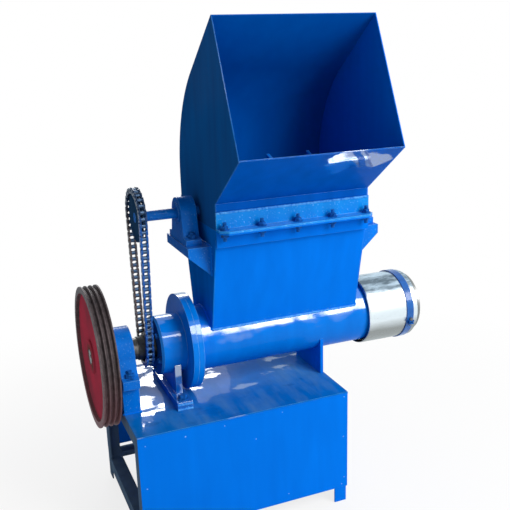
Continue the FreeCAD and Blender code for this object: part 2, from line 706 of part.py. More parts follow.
def sprocket(label, teeth, radius, bore, hub_radius, hub_length, side, z):
    """Toothed disc with a hub on one side. side is -1 towards the pulley."""
    tip = radius - size("roller_diameter") / 2 - size("sprocket_clearance")
    thickness = size("sprocket_thickness")
    disc = toothed_disc(teeth, tip, tip - size("tooth_height"))
    disc.translate(FreeCAD.Vector(-thickness / 2, 0, 0))
    solid = disc.extrude(FreeCAD.Vector(thickness, 0, 0))
    axis = FreeCAD.Vector(1, 0, 0)
    hub = Part.makeCylinder(hub_radius, hub_length, axis * (side * thickness / 2), axis * side)
    hole = Part.makeCylinder(bore, hub_length + 2 * thickness, axis * (-side * thickness), axis * side)
    item = doc.addObject("Part::Feature", label)
    item.Shape = solid.fuse(hub).cut(hole)
    place(item, chain_x, axis_y, z)
    return keep(item, label)


sprocket("drive_sprocket", driver_teeth, driver_radius, size("shaft_diameter") / 2,
         size("driver_hub_radius"), size("driver_hub_length"), -1, axis_z)
sprocket("driven_sprocket", driven_teeth, driven_radius, size("rotor_shaft_diameter") / 2,
         size("driven_hub_radius"), size("driven_hub_length"), 1, rotor_z)


def chain_point(along):
    """Point on the pitch line, counted from the driver's lowest point, as Y and Z."""
    spread = driven_radius - driver_radius
    tilt = math.asin(spread / shaft_distance)
    straight = math.sqrt(shaft_distance ** 2 - spread ** 2)
    lower = (math.pi / 2 - tilt) * driver_radius
    upper = (math.pi + 2 * tilt) * driven_radius
    along %= link_count * pitch
    if along < lower:
        angle = -math.pi / 2 + along / driver_radius
        return driver_radius * math.cos(angle), driver_radius * math.sin(angle)
    along -= lower
    start = -tilt
    if along < straight:
        y = driver_radius * math.cos(start) + along * math.sin(tilt)
        z = driver_radius * math.sin(start) + along * math.cos(tilt)
        return y, z
    along -= straight
    if along < upper:
        angle = start + along / driven_radius
        return driven_radius * math.cos(angle), shaft_distance + driven_radius * math.sin(angle)
    along -= upper
    end = math.pi + tilt
    if along < straight:
        y = driven_radius * math.cos(end) + along * math.sin(tilt)
        z = shaft_distance + driven_radius * math.sin(end) - along * math.cos(tilt)
        return y, z
    along -= straight
    angle = end + along / driver_radius
    return driver_radius * math.cos(angle), driver_radius * math.sin(angle)


def link_outline(start, end, x):
    """Side plate outline between two joints, waisted a little in the middle."""
    run = end - start
    reach = size("link_height") / 2
    along = run.normalize()
    across = FreeCAD.Vector(0, -along.z, along.y)
    corners = []
    for centre, turn in ((end, 1), (start, -1)):
        for share in (0.8, 0.0, -0.8):
            depth = math.sqrt(1 - share ** 2)
            corners.append(centre + along * (turn * depth * reach) + across * (turn * share * reach))
    corners = [FreeCAD.Vector(x, corner.y, corner.z) for corner in corners]
    return Part.Face(Part.makePolygon(corners + corners[:1]))


def drive_chain():
    plate = size("link_plate")
    inside = size("roller_width") / 2
    joints = []
    for joint in range(link_count):
        y, z = chain_point(joint * pitch)
        joints.append(FreeCAD.Vector(0, y, z))
    pieces = []
    for joint in range(link_count):
        start = joints[joint]
        end = joints[(joint + 1) % link_count]
        near = inside + plate * (joint % 2)
        for x in (near, -near - plate):
            face = link_outline(start, end, x)
            pieces.append(face.extrude(FreeCAD.Vector(plate, 0, 0)))
        corners = []
        for side in range(7):
            angle = 2 * math.pi * side / 6
            corners.append(start + FreeCAD.Vector(-inside, math.cos(angle) * size("roller_diameter") / 2,
                                                  math.sin(angle) * size("roller_diameter") / 2))
        pieces.append(Part.Face(Part.makePolygon(corners)).extrude(FreeCAD.Vector(2 * inside, 0, 0)))
    item = doc.addObject("Part::Feature", "drive_chain")
    item.Shape = Part.makeCompound(pieces)
    place(item, chain_x, axis_y, axis_z)
    return keep(item, "drive_chain")


drive_chain()


def feed_screw():
    """Core and one helical flight as a single faceted solid. The flight climbs one pitch a turn."""
    facets = int(size("flight_facets"))
    core = size("screw_core") / 2
    outer = size("barrel_diameter") / 2 - size("barrel_wall") - size("running_gap")
    length = size("barrel_length") - 2 * size("running_gap")
    half = size("flight_thickness") / 2
    climb = size("screw_pitch") / facets
    steps = int((length - 4 * half) / climb)

    def spot(step, x, radius):
        angle = 2 * math.pi * step / facets
        return FreeCAD.Vector(x, radius * math.cos(angle), radius * math.sin(angle))

    def middle(step):
        return 2 * half + step * climb

    faces = []

    def facet(*corners):
        faces.append(Part.Face(Part.makePolygon(list(corners) + [corners[0]])))

    for side in range(facets):
        turn = side
        low = [spot(side, 0, core)]
        high = [spot(side + 1, 0, core)]
        if side + 1 == facets:
            high += [spot(0, middle(0) - half, core), spot(0, middle(0) + half, core)]
        while turn < steps:
            near, far = middle(turn), middle(turn + 1)
            low.append(spot(turn, near - half, core))
            high.append(spot(turn + 1, far - half, core))
            facet(*low, *reversed(high))
            for edge in (-half, half):
                inner_near, inner_far = spot(turn, near + edge, core), spot(turn + 1, far + edge, core)
                outer_near, outer_far = spot(turn, near + edge, outer), spot(turn + 1, far + edge, outer)
                facet(inner_near, outer_near, outer_far)
                facet(inner_near, outer_far, inner_far)
            facet(spot(turn, near - half, outer), spot(turn, near + half, outer),
                  spot(turn + 1, far + half, outer), spot(turn + 1, far - half, outer))
            low = [spot(turn, near + half, core)]
            high = [spot(turn + 1, far + half, core)]
            turn += facets
        if turn == steps:
            low += [spot(turn, middle(turn) - half, core), spot(turn, middle(turn) + half, core)]
        low.append(spot(side, length, core))
        high.append(spot(side + 1, length, core))
        facet(*low, *reversed(high))
    for step in (0, steps):
        x = middle(step)
        facet(spot(step, x - half, core), spot(step, x - half, outer), spot(step, x + half, outer),
              spot(step, x + half, core))
    for x in (0, length):
        facet(*[spot(side, x, core) for side in range(facets)])
    shell = Part.Shell(faces)
    shell.sewShape()
    solid = Part.Solid(shell)
    solid.fix(0.001, 0.001, 0.001)
    if solid.Volume < 0:
        solid.reverse()
    item = doc.addObject("Part::Feature", "feed_screw")
    item.Shape = solid
    place(item, f"{barrel_x}", axis_y, axis_z)
    return keep(item, "feed_screw")


feed_screw()

# Crusher rotor: shaft, sleeve and hooked blades
rotor_start = f"({chain_x} - Sizes.sprocket_thickness / 2)"
keep(rod("rotor_shaft", rotor_start, axis_y, rotor_z, "Sizes.rotor_shaft_diameter / 2",
         f"{hopper_end} + Sizes.shelf_width - {rotor_start}"), "rotor_shaft")


def rotor_blades():
    sleeve = size("rotor_sleeve_diameter") / 2
    reach = size("rotor_reach")
    bore = size("rotor_shaft_diameter") / 2
    length = number(inner_width) - 2 * size("running_gap")
    axis = FreeCAD.Vector(1, 0, 0)
    shape = Part.makeCylinder(sleeve, length, FreeCAD.Vector(), axis)
    count = int(size("blade_count"))
    thickness = size("blade_thickness")
    blades = []
    for blade in range(count):
        x = (blade + 0.5) * length / count - thickness / 2
        tip = FreeCAD.Vector(x, reach * 0.2, math.sqrt(reach ** 2 - (reach * 0.2) ** 2))
        corners = [FreeCAD.Vector(x, 20, sleeve - 12), FreeCAD.Vector(x, -26, sleeve - 12),
                   FreeCAD.Vector(x, -22, reach * 0.65), FreeCAD.Vector(x, -2, reach * 0.9), tip,
                   FreeCAD.Vector(x, 14, reach * 0.75)]
        face = Part.Face(Part.makePolygon(corners + corners[:1]))
        hook = face.extrude(FreeCAD.Vector(thickness, 0, 0))
        hook.rotate(FreeCAD.Vector(), axis, size("blade_turn") * (blade + 1))
        blades.append(hook)
    shape = shape.fuse(blades).cut(Part.makeCylinder(bore, length, FreeCAD.Vector(), axis))
    item = doc.addObject("Part::Feature", "rotor_blades")
    item.Shape = shape
    place(item, f"{inner_x} + Sizes.running_gap", axis_y, rotor_z)
    return keep(item, "rotor_blades")


rotor_blades()

doc.recompute()
failed = [item.Name for item in doc.Objects if "Invalid" in item.State or "Error" in item.State]
empty = [item.Label for item in subparts if item.Shape.isNull() or not item.Shape.isValid()]
if failed or empty:
    raise RuntimeError(f"failed: {failed} empty or broken: {empty}")
os.makedirs("parts", exist_ok=True)
for item in subparts:
    item.Shape.exportStep(f"parts/{item.Label}.step")
print(len(subparts), "sub-parts written")
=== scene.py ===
import bpy
import bmesh
import json
import math
import random
from mathutils import Matrix, Vector, noise


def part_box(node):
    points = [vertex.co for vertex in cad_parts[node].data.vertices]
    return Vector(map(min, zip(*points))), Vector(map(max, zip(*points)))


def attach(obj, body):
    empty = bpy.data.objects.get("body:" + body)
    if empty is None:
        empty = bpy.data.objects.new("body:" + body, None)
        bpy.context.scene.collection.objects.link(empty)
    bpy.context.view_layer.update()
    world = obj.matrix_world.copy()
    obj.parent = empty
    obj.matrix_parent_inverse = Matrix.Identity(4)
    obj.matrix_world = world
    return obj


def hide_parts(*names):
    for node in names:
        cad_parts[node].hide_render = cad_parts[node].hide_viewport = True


# Foam hot melting machine: paint, fasteners, welds and chain around the fixed frame. Metres throughout.
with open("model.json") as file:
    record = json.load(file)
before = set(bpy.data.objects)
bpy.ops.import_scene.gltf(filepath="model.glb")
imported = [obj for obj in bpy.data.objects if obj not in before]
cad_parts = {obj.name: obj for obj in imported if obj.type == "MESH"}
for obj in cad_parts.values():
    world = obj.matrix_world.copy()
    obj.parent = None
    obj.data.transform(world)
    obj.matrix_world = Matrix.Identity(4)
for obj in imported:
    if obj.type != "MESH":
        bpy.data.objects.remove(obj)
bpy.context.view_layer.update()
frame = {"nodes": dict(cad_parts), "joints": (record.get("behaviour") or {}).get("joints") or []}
scene = bpy.context.scene
nodes = frame["nodes"]
joints = {joint["name"]: joint for joint in frame["joints"]}
print("frame loaded:", len(nodes), "nodes")

up, down, left, right, front, back = (0, 0, 1), (0, 0, -1), (-1, 0, 0), (1, 0, 0), (0, -1, 0), (0, 1, 0)
paints = {}


def low(node):
    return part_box(node)[0]


def high(node):
    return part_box(node)[1]


# Places that several pieces share
shaftY, shaftZ = joints["main_shaft_spin"]["pos_m"][1:]
rotorZ = joints["rotor_spin"]["pos_m"][2]
barrelRadius = (high("barrel").z - low("barrel").z) / 2
throatHalf = math.sqrt(barrelRadius ** 2 - (low("chamber_front").z - shaftZ) ** 2)
chainX = (low("drive_chain").x + high("drive_chain").x) / 2


def inScene(name, data):
    item = bpy.data.objects.new(name, data)
    scene.collection.objects.link(item)
    return item


# Small node helpers, for materials and Geometry Nodes alike
def feed(tree, socket, value):
    if isinstance(value, bpy.types.NodeSocket):
        tree.links.new(value, socket)
    elif isinstance(value, tuple) and len(value) == 3 and socket.type == "RGBA":
        socket.default_value = (*value, 1)
    else:
        socket.default_value = value


def feedAll(tree, node, inputs):
    for label, value in inputs.items():
        feed(tree, node.inputs[label], value)


def addNode(tree, kind, inputs=None, **settings):
    node = tree.nodes.new(kind)
    for key, value in settings.items():
        setattr(node, key, value)
    feedAll(tree, node, inputs or {})
    return node


def outputOf(tree, kind, inputs=None, **settings):
    return addNode(tree, kind, inputs, **settings).outputs[0]


def mathNode(tree, operation, first, second=0.0):
    return outputOf(tree, "ShaderNodeMath", {0: first, 1: second}, operation=operation)


def measureNode(tree, operation, first, second=(0.0, 0.0, 0.0)):
    # Length, distance or dot product as one number
    return addNode(tree, "ShaderNodeVectorMath", {0: first, 1: second}, operation=operation).outputs["Value"]


def axisNode(tree, vector, axis):
    return addNode(tree, "ShaderNodeSeparateXYZ", {"Vector": vector}).outputs[axis]


def rangeNode(tree, value, fromLow, fromHigh, toLow=0.0, toHigh=1.0):
    inputs = {"Value": value, "From Min": fromLow, "From Max": fromHigh, "To Min": toLow, "To Max": toHigh}
    return outputOf(tree, "ShaderNodeMapRange", inputs)


def noiseNode(tree, coords, scale, detail=3.0, stretch=None, rough=0.5):
    if stretch:
        coords = outputOf(tree, "ShaderNodeMapping", {"Vector": coords, "Scale": stretch})
    inputs = {"Vector": coords, "Scale": scale, "Detail": detail, "Roughness": rough}
    return outputOf(tree, "ShaderNodeTexNoise", inputs)


def mixColor(tree, factor, first, second):
    node = addNode(tree, "ShaderNodeMix", data_type="RGBA")
    for socket, value in zip([item for item in node.inputs if item.enabled], (factor, first, second)):
        feed(tree, socket, value)
    return [item for item in node.outputs if item.enabled][0]


def bumpNode(tree, height, strength, distance, normal=None):
    inputs = {"Height": height, "Strength": strength, "Distance": distance}
    if normal:
        inputs["Normal"] = normal
    return outputOf(tree, "ShaderNodeBump", inputs)


def shaftReach(tree, coords):
    # Distance from the main shaft's axis
    inputs = {"Vector": coords, "Location": (0, -shaftY, -shaftZ), "Scale": (0, 1, 1)}
    return measureNode(tree, "LENGTH", outputOf(tree, "ShaderNodeMapping", inputs))


# Camera
cameraValues = {
    "place": (-0.8588, -2.0313, 1.4178),
    "yaw": 0.38806, "pitch": 0.27443, "roll": -0.02985,
    "lensMm": 52.73, "sensorMm": 36.0, "reach": 60,
}


def makeCamera(values):
    yaw, pitch, roll = values["yaw"], values["pitch"], values["roll"]
    ahead = Vector((math.sin(yaw) * math.cos(pitch), math.cos(yaw) * math.cos(pitch), -math.sin(pitch)))
    level = Vector((math.cos(yaw), -math.sin(yaw), 0))
    upright = level.cross(ahead)
    side = level * math.cos(roll) + upright * math.sin(roll)
    top = upright * math.cos(roll) - level * math.sin(roll)
    data = bpy.data.cameras.new("photoView")
    data.lens = values["lensMm"]
    data.sensor_width = values["sensorMm"]
    data.clip_end = values["reach"]
    camera = inScene("photoView", data)
    turn = Matrix((side, top, -ahead)).transposed().to_4x4()
    camera.matrix_world = Matrix.Translation(values["place"]) @ turn
    scene.camera = camera


# Light
lampValues = {
    "key": {"place": (1.9, -3.1, 3.0), "aim": (0.0, -0.1, 0.6), "wide": 2.2, "tall": 2.7, "watts": 184},
    "window": {"place": (0.15, 2.7, 1.75), "aim": (-0.2, 0.1, 0.4), "wide": 1.3, "tall": 0.7, "watts": 26},
}
worldValues = {"shine": 1.0, "fill": 0.31, "tint": (0.84, 0.95, 1.0)}


def seenDirectly(tree):
    # 1 for camera, glossy and transmission rays, 0 for light that falls on a surface
    path = tree.nodes.new("ShaderNodeLightPath")
    seen = mathNode(tree, "MAXIMUM", path.outputs["Is Camera Ray"], path.outputs["Is Glossy Ray"])
    return mathNode(tree, "MAXIMUM", seen, path.outputs["Is Transmission Ray"])


def shopWhite(tree):
    # White to the camera, a little cooler in reflections
    path = tree.nodes.new("ShaderNodeLightPath")
    return mixColor(tree, path.outputs["Is Glossy Ray"], (1.0, 1.0, 1.0), worldValues["tint"])


def makeLamp(name, values):
    data = bpy.data.lights.new(name, "AREA")
    data.shape = "RECTANGLE"
    data.size = values["wide"]
    data.size_y = values["tall"]
    data.energy = values["watts"]
    lamp = inScene(name, data)
    place = Vector(values["place"])
    lamp.rotation_euler = (Vector(values["aim"]) - place).to_track_quat("-Z", "Y").to_euler()
    lamp.location = place
    lamp.visible_camera = False


def makeWorld(values):
    world = bpy.data.worlds.new("studio")
    scene.world = world
    world.use_nodes = True
    tree = world.node_tree
    sky = tree.nodes["Background"]
    strength = rangeNode(tree, seenDirectly(tree), 0, 1, values["fill"], values["shine"])
    feedAll(tree, sky, {"Color": shopWhite(tree), "Strength": strength})


def startMaterial(name):
    material = bpy.data.materials.new(name)
    material.use_nodes = True
    tree = material.node_tree
    coords = tree.nodes.new("ShaderNodeTexCoord").outputs["Object"]
    paints[name] = material
    return tree, tree.nodes["Principled BSDF"], coords


# Enamel. Each finish names only what differs from the plain one. The thick kind keeps glossy runs, and the
# end kind
# is painted shade: darker, glossless copies of the paint for the parts towards the drive end.
plainEnamel = {
    "paint": (0.0, 0.168, 0.75), "thin": (0.0, 0.148, 0.68), "edge": (0.10, 0.34, 0.78),
    "dust": (0.10, 0.22, 0.38), "dusty": 0.2, "hazeStretch": None, "flecks": 0.0,
    "roughness": 0.32, "specular": 0.01, "coat": 0.02, "coatRoughness": 0.04, "coatIor": 1.5,
    "wave": 0.25, "edgeRadius": 0.0012, "edgeLeast": 0.15,
    "filmShare": 0.0, "wetCoat": 0.0, "wetLean": (0.0, 0.0, 0.0), "wetSpots": (),
}
thickEnamel = {
    "paint": (0.0, 0.190, 0.73), "thin": (0.0, 0.150, 0.61), "edge": (0.22, 0.48, 0.84), "dusty": 0.0,
    "roughness": 0.30, "specular": 0.04, "edgeRadius": 0.0022,
    "wetCoat": 1.0, "wetScale": 24.0, "wetLean": (0.0, 0.0, 8.0),
}
# Painted shade: base of the darker, glossless copies for parts towards the drive end
shadedEndEnamel = {
    "dust": (0.08, 0.12, 0.18), "dusty": 0.3, "specular": 0.0, "coat": 0.0, "edgeLeast": 0.2,
}
enamelValues = {
    "blueEnamel": {},
    "innerEnamel": {
        "paint": (0.0, 0.165, 0.74), "thin": (0.0, 0.130, 0.63), "edge": (0.16, 0.36, 0.74),
        "dust": (0.12, 0.22, 0.36), "specular": 0.02, "coat": 0.03, "edgeLeast": 0.4,
        # Painted shade inside the hopper: the dark colour and how much of it the inner faces take
        "film": (0.0, 0.050, 0.26), "filmShare": 0.55,
    },
    "glossEnamel": {
        **thickEnamel, "coat": 0.06, "coatRoughness": 0.05, "coatIor": 1.65, "wave": 0.20,
        "wetLow": 5.10, "wetHigh": 5.24,
    },
    "barrelEnamel": {
        **thickEnamel, "coat": 0.04, "coatRoughness": 0.13, "coatIor": 2.1, "wave": 0.15,
        "wetLow": 5.02, "wetHigh": 5.22,
    },
    # Painted shade: a darker copy of the blue for the hopper's downward-facing front slope
    "slopeEnamel": {
        "paint": (0.0, 0.100, 0.50), "thin": (0.0, 0.080, 0.40), "edge": (0.24, 0.46, 0.80), "dusty": 0.0,
        "roughness": 0.30, "specular": 0.02, "coat": 0.0, "coatRoughness": 0.03, "coatIor": 3.4,
        "wave": 0.35, "edgeRadius": 0.0014, "edgeLeast": 0.5,
        "wetCoat": 1.0, "wetScale": 14.0, "wetLow": 0.80, "wetHigh": 0.87,
        "wetSpots": (((0.135, -0.262, 1.110), 0.105), ((0.248, -0.250, 1.100), 0.072)),
    },
    "tableEnamel": {
        "paint": (0.0, 0.165, 0.56), "thin": (0.0, 0.125, 0.44), "edge": (0.16, 0.38, 0.70),
        "dust": (0.10, 0.25, 0.46), "dusty": 0.55, "hazeStretch": (2.6, 0.5, 1.0),
        "roughness": 0.30, "specular": 0.02, "coat": 0.03, "coatRoughness": 0.03, "coatIor": 2.2,
        "wave": 0.45, "edgeLeast": 0.3,
        "wetCoat": 1.0, "wetScale": 20.0, "wetLow": 0.585, "wetHigh": 0.65, "wetLean": (-0.14, 0.26, 0.0),
    },
    # Painted shade: a darker copy of the blue for the plates that face the drive end
    "dullEnamel": {
        **shadedEndEnamel, "roughness": 0.45, "coatRoughness": 0.16,
        "paint": (0.006, 0.105, 0.37), "thin": (0.008, 0.080, 0.28), "edge": (0.10, 0.22, 0.42),
        "wetCoat": 0.30, "wetScale": 6.0, "wetLow": 5.45, "wetHigh": 5.80, "wetLean": (0.0, 0.0, 4.0),
    },
    # Painted shade: a dark slate copy of the blue for the posts and rails at the drive end
    "postEnamel": {
        **shadedEndEnamel, "roughness": 0.50,
        "paint": (0.120, 0.200, 0.310), "thin": (0.090, 0.145, 0.225), "edge": (0.16, 0.25, 0.38),
    },
    # Painted shade: a slightly darker, glossless copy of the blue for the chute's drive-end side
    "chuteEnamel": {
        **shadedEndEnamel, "roughness": 0.40, "dust": (0.08, 0.16, 0.28), "dusty": 0.2,
        "paint": (0.0, 0.160, 0.62), "thin": (0.0, 0.125, 0.50), "edge": (0.10, 0.30, 0.64),
    },
    "castEnamel": {
        "paint": (0.0, 0.185, 0.74), "thin": (0.0, 0.125, 0.53), "edge": (0.14, 0.38, 0.72),
        "dust": (0.15, 0.24, 0.34), "dusty": 0.25, "flecks": 0.35,
        "roughness": 0.36, "specular": 0.04, "coat": 0.12, "coatRoughness": 0.08,
        "wave": 0.35, "edgeRadius": 0.0025, "edgeLeast": 0.1,
    },
    "saddleEnamel": {
        "paint": (0.0, 0.165, 0.66), "thin": (0.0, 0.105, 0.44), "edge": (0.16, 0.40, 0.74),
        "dust": (0.15, 0.24, 0.34), "flecks": 0.30,
        "roughness": 0.36, "specular": 0.04, "coat": 0.04, "coatRoughness": 0.08, "coatIor": 4.0,
        "wave": 0.35, "edgeRadius": 0.0022, "edgeLeast": 0.1,
        "wetCoat": 1.0, "wetScale": 16.0, "wetLow": 0.40, "wetHigh": 0.46,
    },
    "brightEnamel": {
        "paint": (0.003, 0.275, 0.78), "thin": (0.003, 0.215, 0.68), "edge": (0.20, 0.56, 0.92),
        "dust": (0.20, 0.34, 0.50), "dusty": 0.3, "flecks": 0.85,
        "roughness": 0.30, "specular": 0.05, "coat": 0.20, "coatRoughness": 0.05,
        "wave": 0.35, "edgeRadius": 0.0020, "edgeLeast": 0.3,
    },
}
# Scale of each pattern in the enamel, and the spans over which each one shows
enamelGrain = {
    "cloud": 3.0, "streak": 26.0, "streakStretch": (1.0, 1.0, 0.12), "fleck": 210.0, "chips": 38.0,
    "haze": 7.0, "runStretch": (0.6, 1.0, 1.0), "spotRise": 0.8,
    "wave": 6.0, "waveDepth": 0.012, "peel": 160.0, "peelShare": 0.10, "peelDepth": 0.0006,
}
enamelSpans = {
    "cover": (0.12, 0.40), "fleck": (0.66, 0.72), "edge": (0.99, 0.88), "chips": (0.40, 0.62),
    "inward": (0.05, -0.10), "upward": (0.75, 1.0), "haze": (0.45, 0.72), "dust": (0.0, 0.5),
    "driveEnd": (-0.95, -0.45),
}
dustyRoughness = 0.6
# Share of gloss kept on faces towards the drive end, for their painted shade
shadedSideGlossShare = 0.05


def edgeWearAndHighlight(tree, coords, values):
    # Share of wear and painted highlight near an outer edge: a rounded normal differs from the flat one there
    rounded = outputOf(tree, "ShaderNodeBevel", {"Radius": values["edgeRadius"]}, samples=4)
    flat = tree.nodes.new("ShaderNodeNewGeometry").outputs["Normal"]
    edge = rangeNode(tree, measureNode(tree, "DOT_PRODUCT", rounded, flat), *enamelSpans["edge"])
    chips = noiseNode(tree, coords, enamelGrain["chips"], 4.0)
    patchy = rangeNode(tree, chips, *enamelSpans["chips"], values["edgeLeast"], 1.0)
    return mathNode(tree, "MULTIPLY", edge, patchy), rounded


def wetPatches(tree, coords, values):
    # Thick runs of paint that stayed glossy, in broken patches
    runs = noiseNode(tree, coords, values["wetScale"], 4.0, enamelGrain["runStretch"])
    for axis, lean in zip("XYZ", values["wetLean"]):
        if lean:
            runs = mathNode(tree, "ADD", runs, mathNode(tree, "MULTIPLY", axisNode(tree, coords, axis), lean))
    for centre, radius in values["wetSpots"]:
        away = measureNode(tree, "DISTANCE", coords, centre)
        runs = mathNode(tree, "ADD", runs, rangeNode(tree, away, 0.0, radius, enamelGrain["spotRise"], 0.0))
    return rangeNode(tree, runs, values["wetLow"], values["wetHigh"], values["coat"], values["wetCoat"])


def makeEnamel(name, values):
    tree, shader, coords = startMaterial(name)
    grain, spans = enamelGrain, enamelSpans
    normal = tree.nodes.new("ShaderNodeNewGeometry").outputs["Normal"]
    cloud = noiseNode(tree, coords, grain["cloud"], 2.0)
    streak = noiseNode(tree, coords, grain["streak"], 3.0, grain["streakStretch"])
    cover = rangeNode(tree, mathNode(tree, "MULTIPLY", cloud, streak), *spans["cover"])
    color = mixColor(tree, cover, values["thin"], values["paint"])
    if values["flecks"]:
        fleck = noiseNode(tree, coords, grain["fleck"], 1.0)
        fleck = rangeNode(tree, fleck, *spans["fleck"], 0.0, values["flecks"])
        color = mixColor(tree, fleck, color, values["edge"])
    edgeWearAndSheen, rounded = edgeWearAndHighlight(tree, coords, values)
    # Edges take the pale edge colour: partly worn paint, partly a painted highlight along the rims
    color = mixColor(tree, edgeWearAndSheen, color, values["edge"])
    if values["filmShare"]:
        # Painted shade: faces that look into the hopper are darkened towards a deep blue, standing in for the
        # shade inside it
        inward = rangeNode(tree, axisNode(tree, normal, "Y"), *spans["inward"], 0.0, values["filmShare"])
        color = mixColor(tree, inward, color, values["film"])
    upward = rangeNode(tree, axisNode(tree, normal, "Z"), *spans["upward"])
    haze = noiseNode(tree, coords, grain["haze"], 5.0, values["hazeStretch"], 0.62)
    dust = mathNode(tree, "MULTIPLY", upward, rangeNode(tree, haze, *spans["haze"]))
    dust = mathNode(tree, "MULTIPLY", dust, values["dusty"])
    # Painted shade: faces towards the drive end keep little of their gloss, so that side stays dark as if in
    # shade
    shadedSideGloss = rangeNode(tree, axisNode(tree, normal, "X"), *spans["driveEnd"], shadedSideGlossShare, 1.0)
    coat = wetPatches(tree, coords, values) if values["wetCoat"] else values["coat"]
    wave = noiseNode(tree, coords, grain["wave"], 1.0)
    wave = bumpNode(tree, wave, values["wave"], grain["waveDepth"], rounded)
    peel = noiseNode(tree, coords, grain["peel"], 2.0)
    feedAll(tree, shader, {
        "Base Color": mixColor(tree, dust, color, values["dust"]),
        "Roughness": rangeNode(tree, dust, *spans["dust"], values["roughness"], dustyRoughness),
        "Specular IOR Level": mathNode(tree, "MULTIPLY", shadedSideGloss, values["specular"]),
        "Coat Weight": mathNode(tree, "MULTIPLY", shadedSideGloss, coat),
        "Coat Roughness": values["coatRoughness"], "Coat IOR": values["coatIor"], "Coat Normal": wave,
        "Normal": bumpNode(tree, peel, grain["peelShare"], grain["peelDepth"], wave),
    })


# Pulley: iron rim under belt dust, its lower part tinted red. The web and hub are painted red.
pulleyPaint = {
    "redTo": 0.1895, "lip": 0.003, "wobbleScale": 30.0, "wobble": 0.003,
    "iron": (0.050, 0.040, 0.043), "ironPale": (0.150, 0.118, 0.120), "ironRed": (0.22, 0.085, 0.095),
    "speckScale": 70.0, "speckSpan": (0.3, 0.72), "tintSpan": (0.03, -0.16), "tintShare": 0.7,
    "red": (0.53, 0.052, 0.092), "redWorn": (0.30, 0.055, 0.082), "redScale": 9.0, "redSpan": (0.35, 0.7),
    "scuff": (0.12, 0.07, 0.055), "hubSpan": (0.050, 0.035), "scuffSpan": (0.42, 0.55),
    "roughness": (0.34, 0.58), "metallic": (0.0, 0.30), "specular": (0.0, 0.1), "bump": (0.2, 0.0010),
}


def makePulleyIron(values):
    tree, shader, coords = startMaterial("pulleyIron")
    wobble = mathNode(tree, "MULTIPLY", noiseNode(tree, coords, values["wobbleScale"]), values["wobble"])
    reach = mathNode(tree, "ADD", shaftReach(tree, coords), wobble)
    rim = rangeNode(tree, reach, values["redTo"], values["redTo"] + values["lip"])
    speck = noiseNode(tree, coords, values["speckScale"], 5.0, None, 0.65)
    iron = mixColor(tree, rangeNode(tree, speck, *values["speckSpan"]), values["iron"], values["ironPale"])
    height = mathNode(tree, "SUBTRACT", axisNode(tree, coords, "Z"), shaftZ)
    lower = rangeNode(tree, height, *values["tintSpan"], 0.0, values["tintShare"])
    iron = mixColor(tree, lower, iron, values["ironRed"])
    worn = rangeNode(tree, noiseNode(tree, coords, values["redScale"], 4.0), *values["redSpan"])
    red = mixColor(tree, worn, values["red"], values["redWorn"])
    nearHub = rangeNode(tree, reach, *values["hubSpan"])
    scuffed = mathNode(tree, "MULTIPLY", nearHub, rangeNode(tree, speck, *values["scuffSpan"]))
    red = mixColor(tree, scuffed, red, values["scuff"])
    feedAll(tree, shader, {
        "Base Color": mixColor(tree, rim, red, iron), "Normal": bumpNode(tree, speck, *values["bump"]),
        "Roughness": rangeNode(tree, rim, 0, 1, *values["roughness"]),
        "Metallic": rangeNode(tree, rim, 0, 1, *values["metallic"]),
        "Specular IOR Level": rangeNode(tree, rim, 0, 1, *values["specular"]),
    })


# Metals and the paint on small parts
plainMetal = {
    "metallic": 0.0, "specular": 0.08, "coat": 0.0, "coatRoughness": 0.12, "stretch": None, "rings": False,
    "paleSpan": (0.35, 0.68), "roughSpan": (0.3, 0.7), "bump": (0.15, 0.0005),
}
metalValues = {
    "turnedSteel": {"dark": (0.17, 0.165, 0.16), "pale": (0.40, 0.39, 0.38), "metallic": 1.0,
                    "roughness": (0.26, 0.42), "scale": 60.0, "stretch": (1.0, 9.0, 1.0), "rings": True},
    "shaftSteel": {"dark": (0.040, 0.036, 0.034), "pale": (0.17, 0.155, 0.145), "metallic": 0.9,
                   "roughness": (0.30, 0.50), "scale": 70.0, "stretch": (10.0, 1.0, 1.0)},
    "greasedIron": {"dark": (0.012, 0.014, 0.018), "pale": (0.055, 0.055, 0.060), "metallic": 0.4,
                    "roughness": (0.35, 0.6), "scale": 60.0},
    "sprocketPaint": {"dark": (0.012, 0.046, 0.110), "pale": (0.022, 0.072, 0.160),
                      "roughness": (0.40, 0.55), "scale": 22.0, "specular": 0.0},
    "boltPaint": {"dark": (0.002, 0.055, 0.24), "pale": (0.01, 0.14, 0.52),
                  "roughness": (0.30, 0.5), "scale": 120.0},
    "strapPaint": {"dark": (0.004, 0.085, 0.34), "pale": (0.01, 0.135, 0.48),
                   "roughness": (0.20, 0.35), "scale": 30.0, "coat": 0.8},
    "chipped": {"dark": (0.06, 0.27, 0.74), "pale": (0.36, 0.56, 0.90),
                "roughness": (0.3, 0.5), "scale": 200.0},
    "weldPaint": {"dark": (0.01, 0.18, 0.66), "pale": (0.12, 0.44, 0.86),
                  "roughness": (0.22, 0.4), "scale": 150.0},
}


def makeMetal(name, values):
    tree, shader, coords = startMaterial(name)
    if values["rings"]:
        # Lathe marks: the grain runs round the shaft's axis
        ring = {"X": axisNode(tree, coords, "X"), "Y": shaftReach(tree, coords)}
        coords = outputOf(tree, "ShaderNodeCombineXYZ", ring)
    grain = noiseNode(tree, coords, values["scale"], 4.0, values["stretch"], 0.6)
    pale = rangeNode(tree, grain, *values["paleSpan"])
    feedAll(tree, shader, {
        "Base Color": mixColor(tree, pale, values["dark"], values["pale"]), "Metallic": values["metallic"],
        "Roughness": rangeNode(tree, grain, *values["roughSpan"], *values["roughness"]),
        "Coat Weight": values["coat"], "Coat Roughness": values["coatRoughness"],
        "Normal": bumpNode(tree, grain, *values["bump"]),
    })
    if not values["metallic"]:
        feed(tree, shader.inputs["Specular IOR Level"], values["specular"])
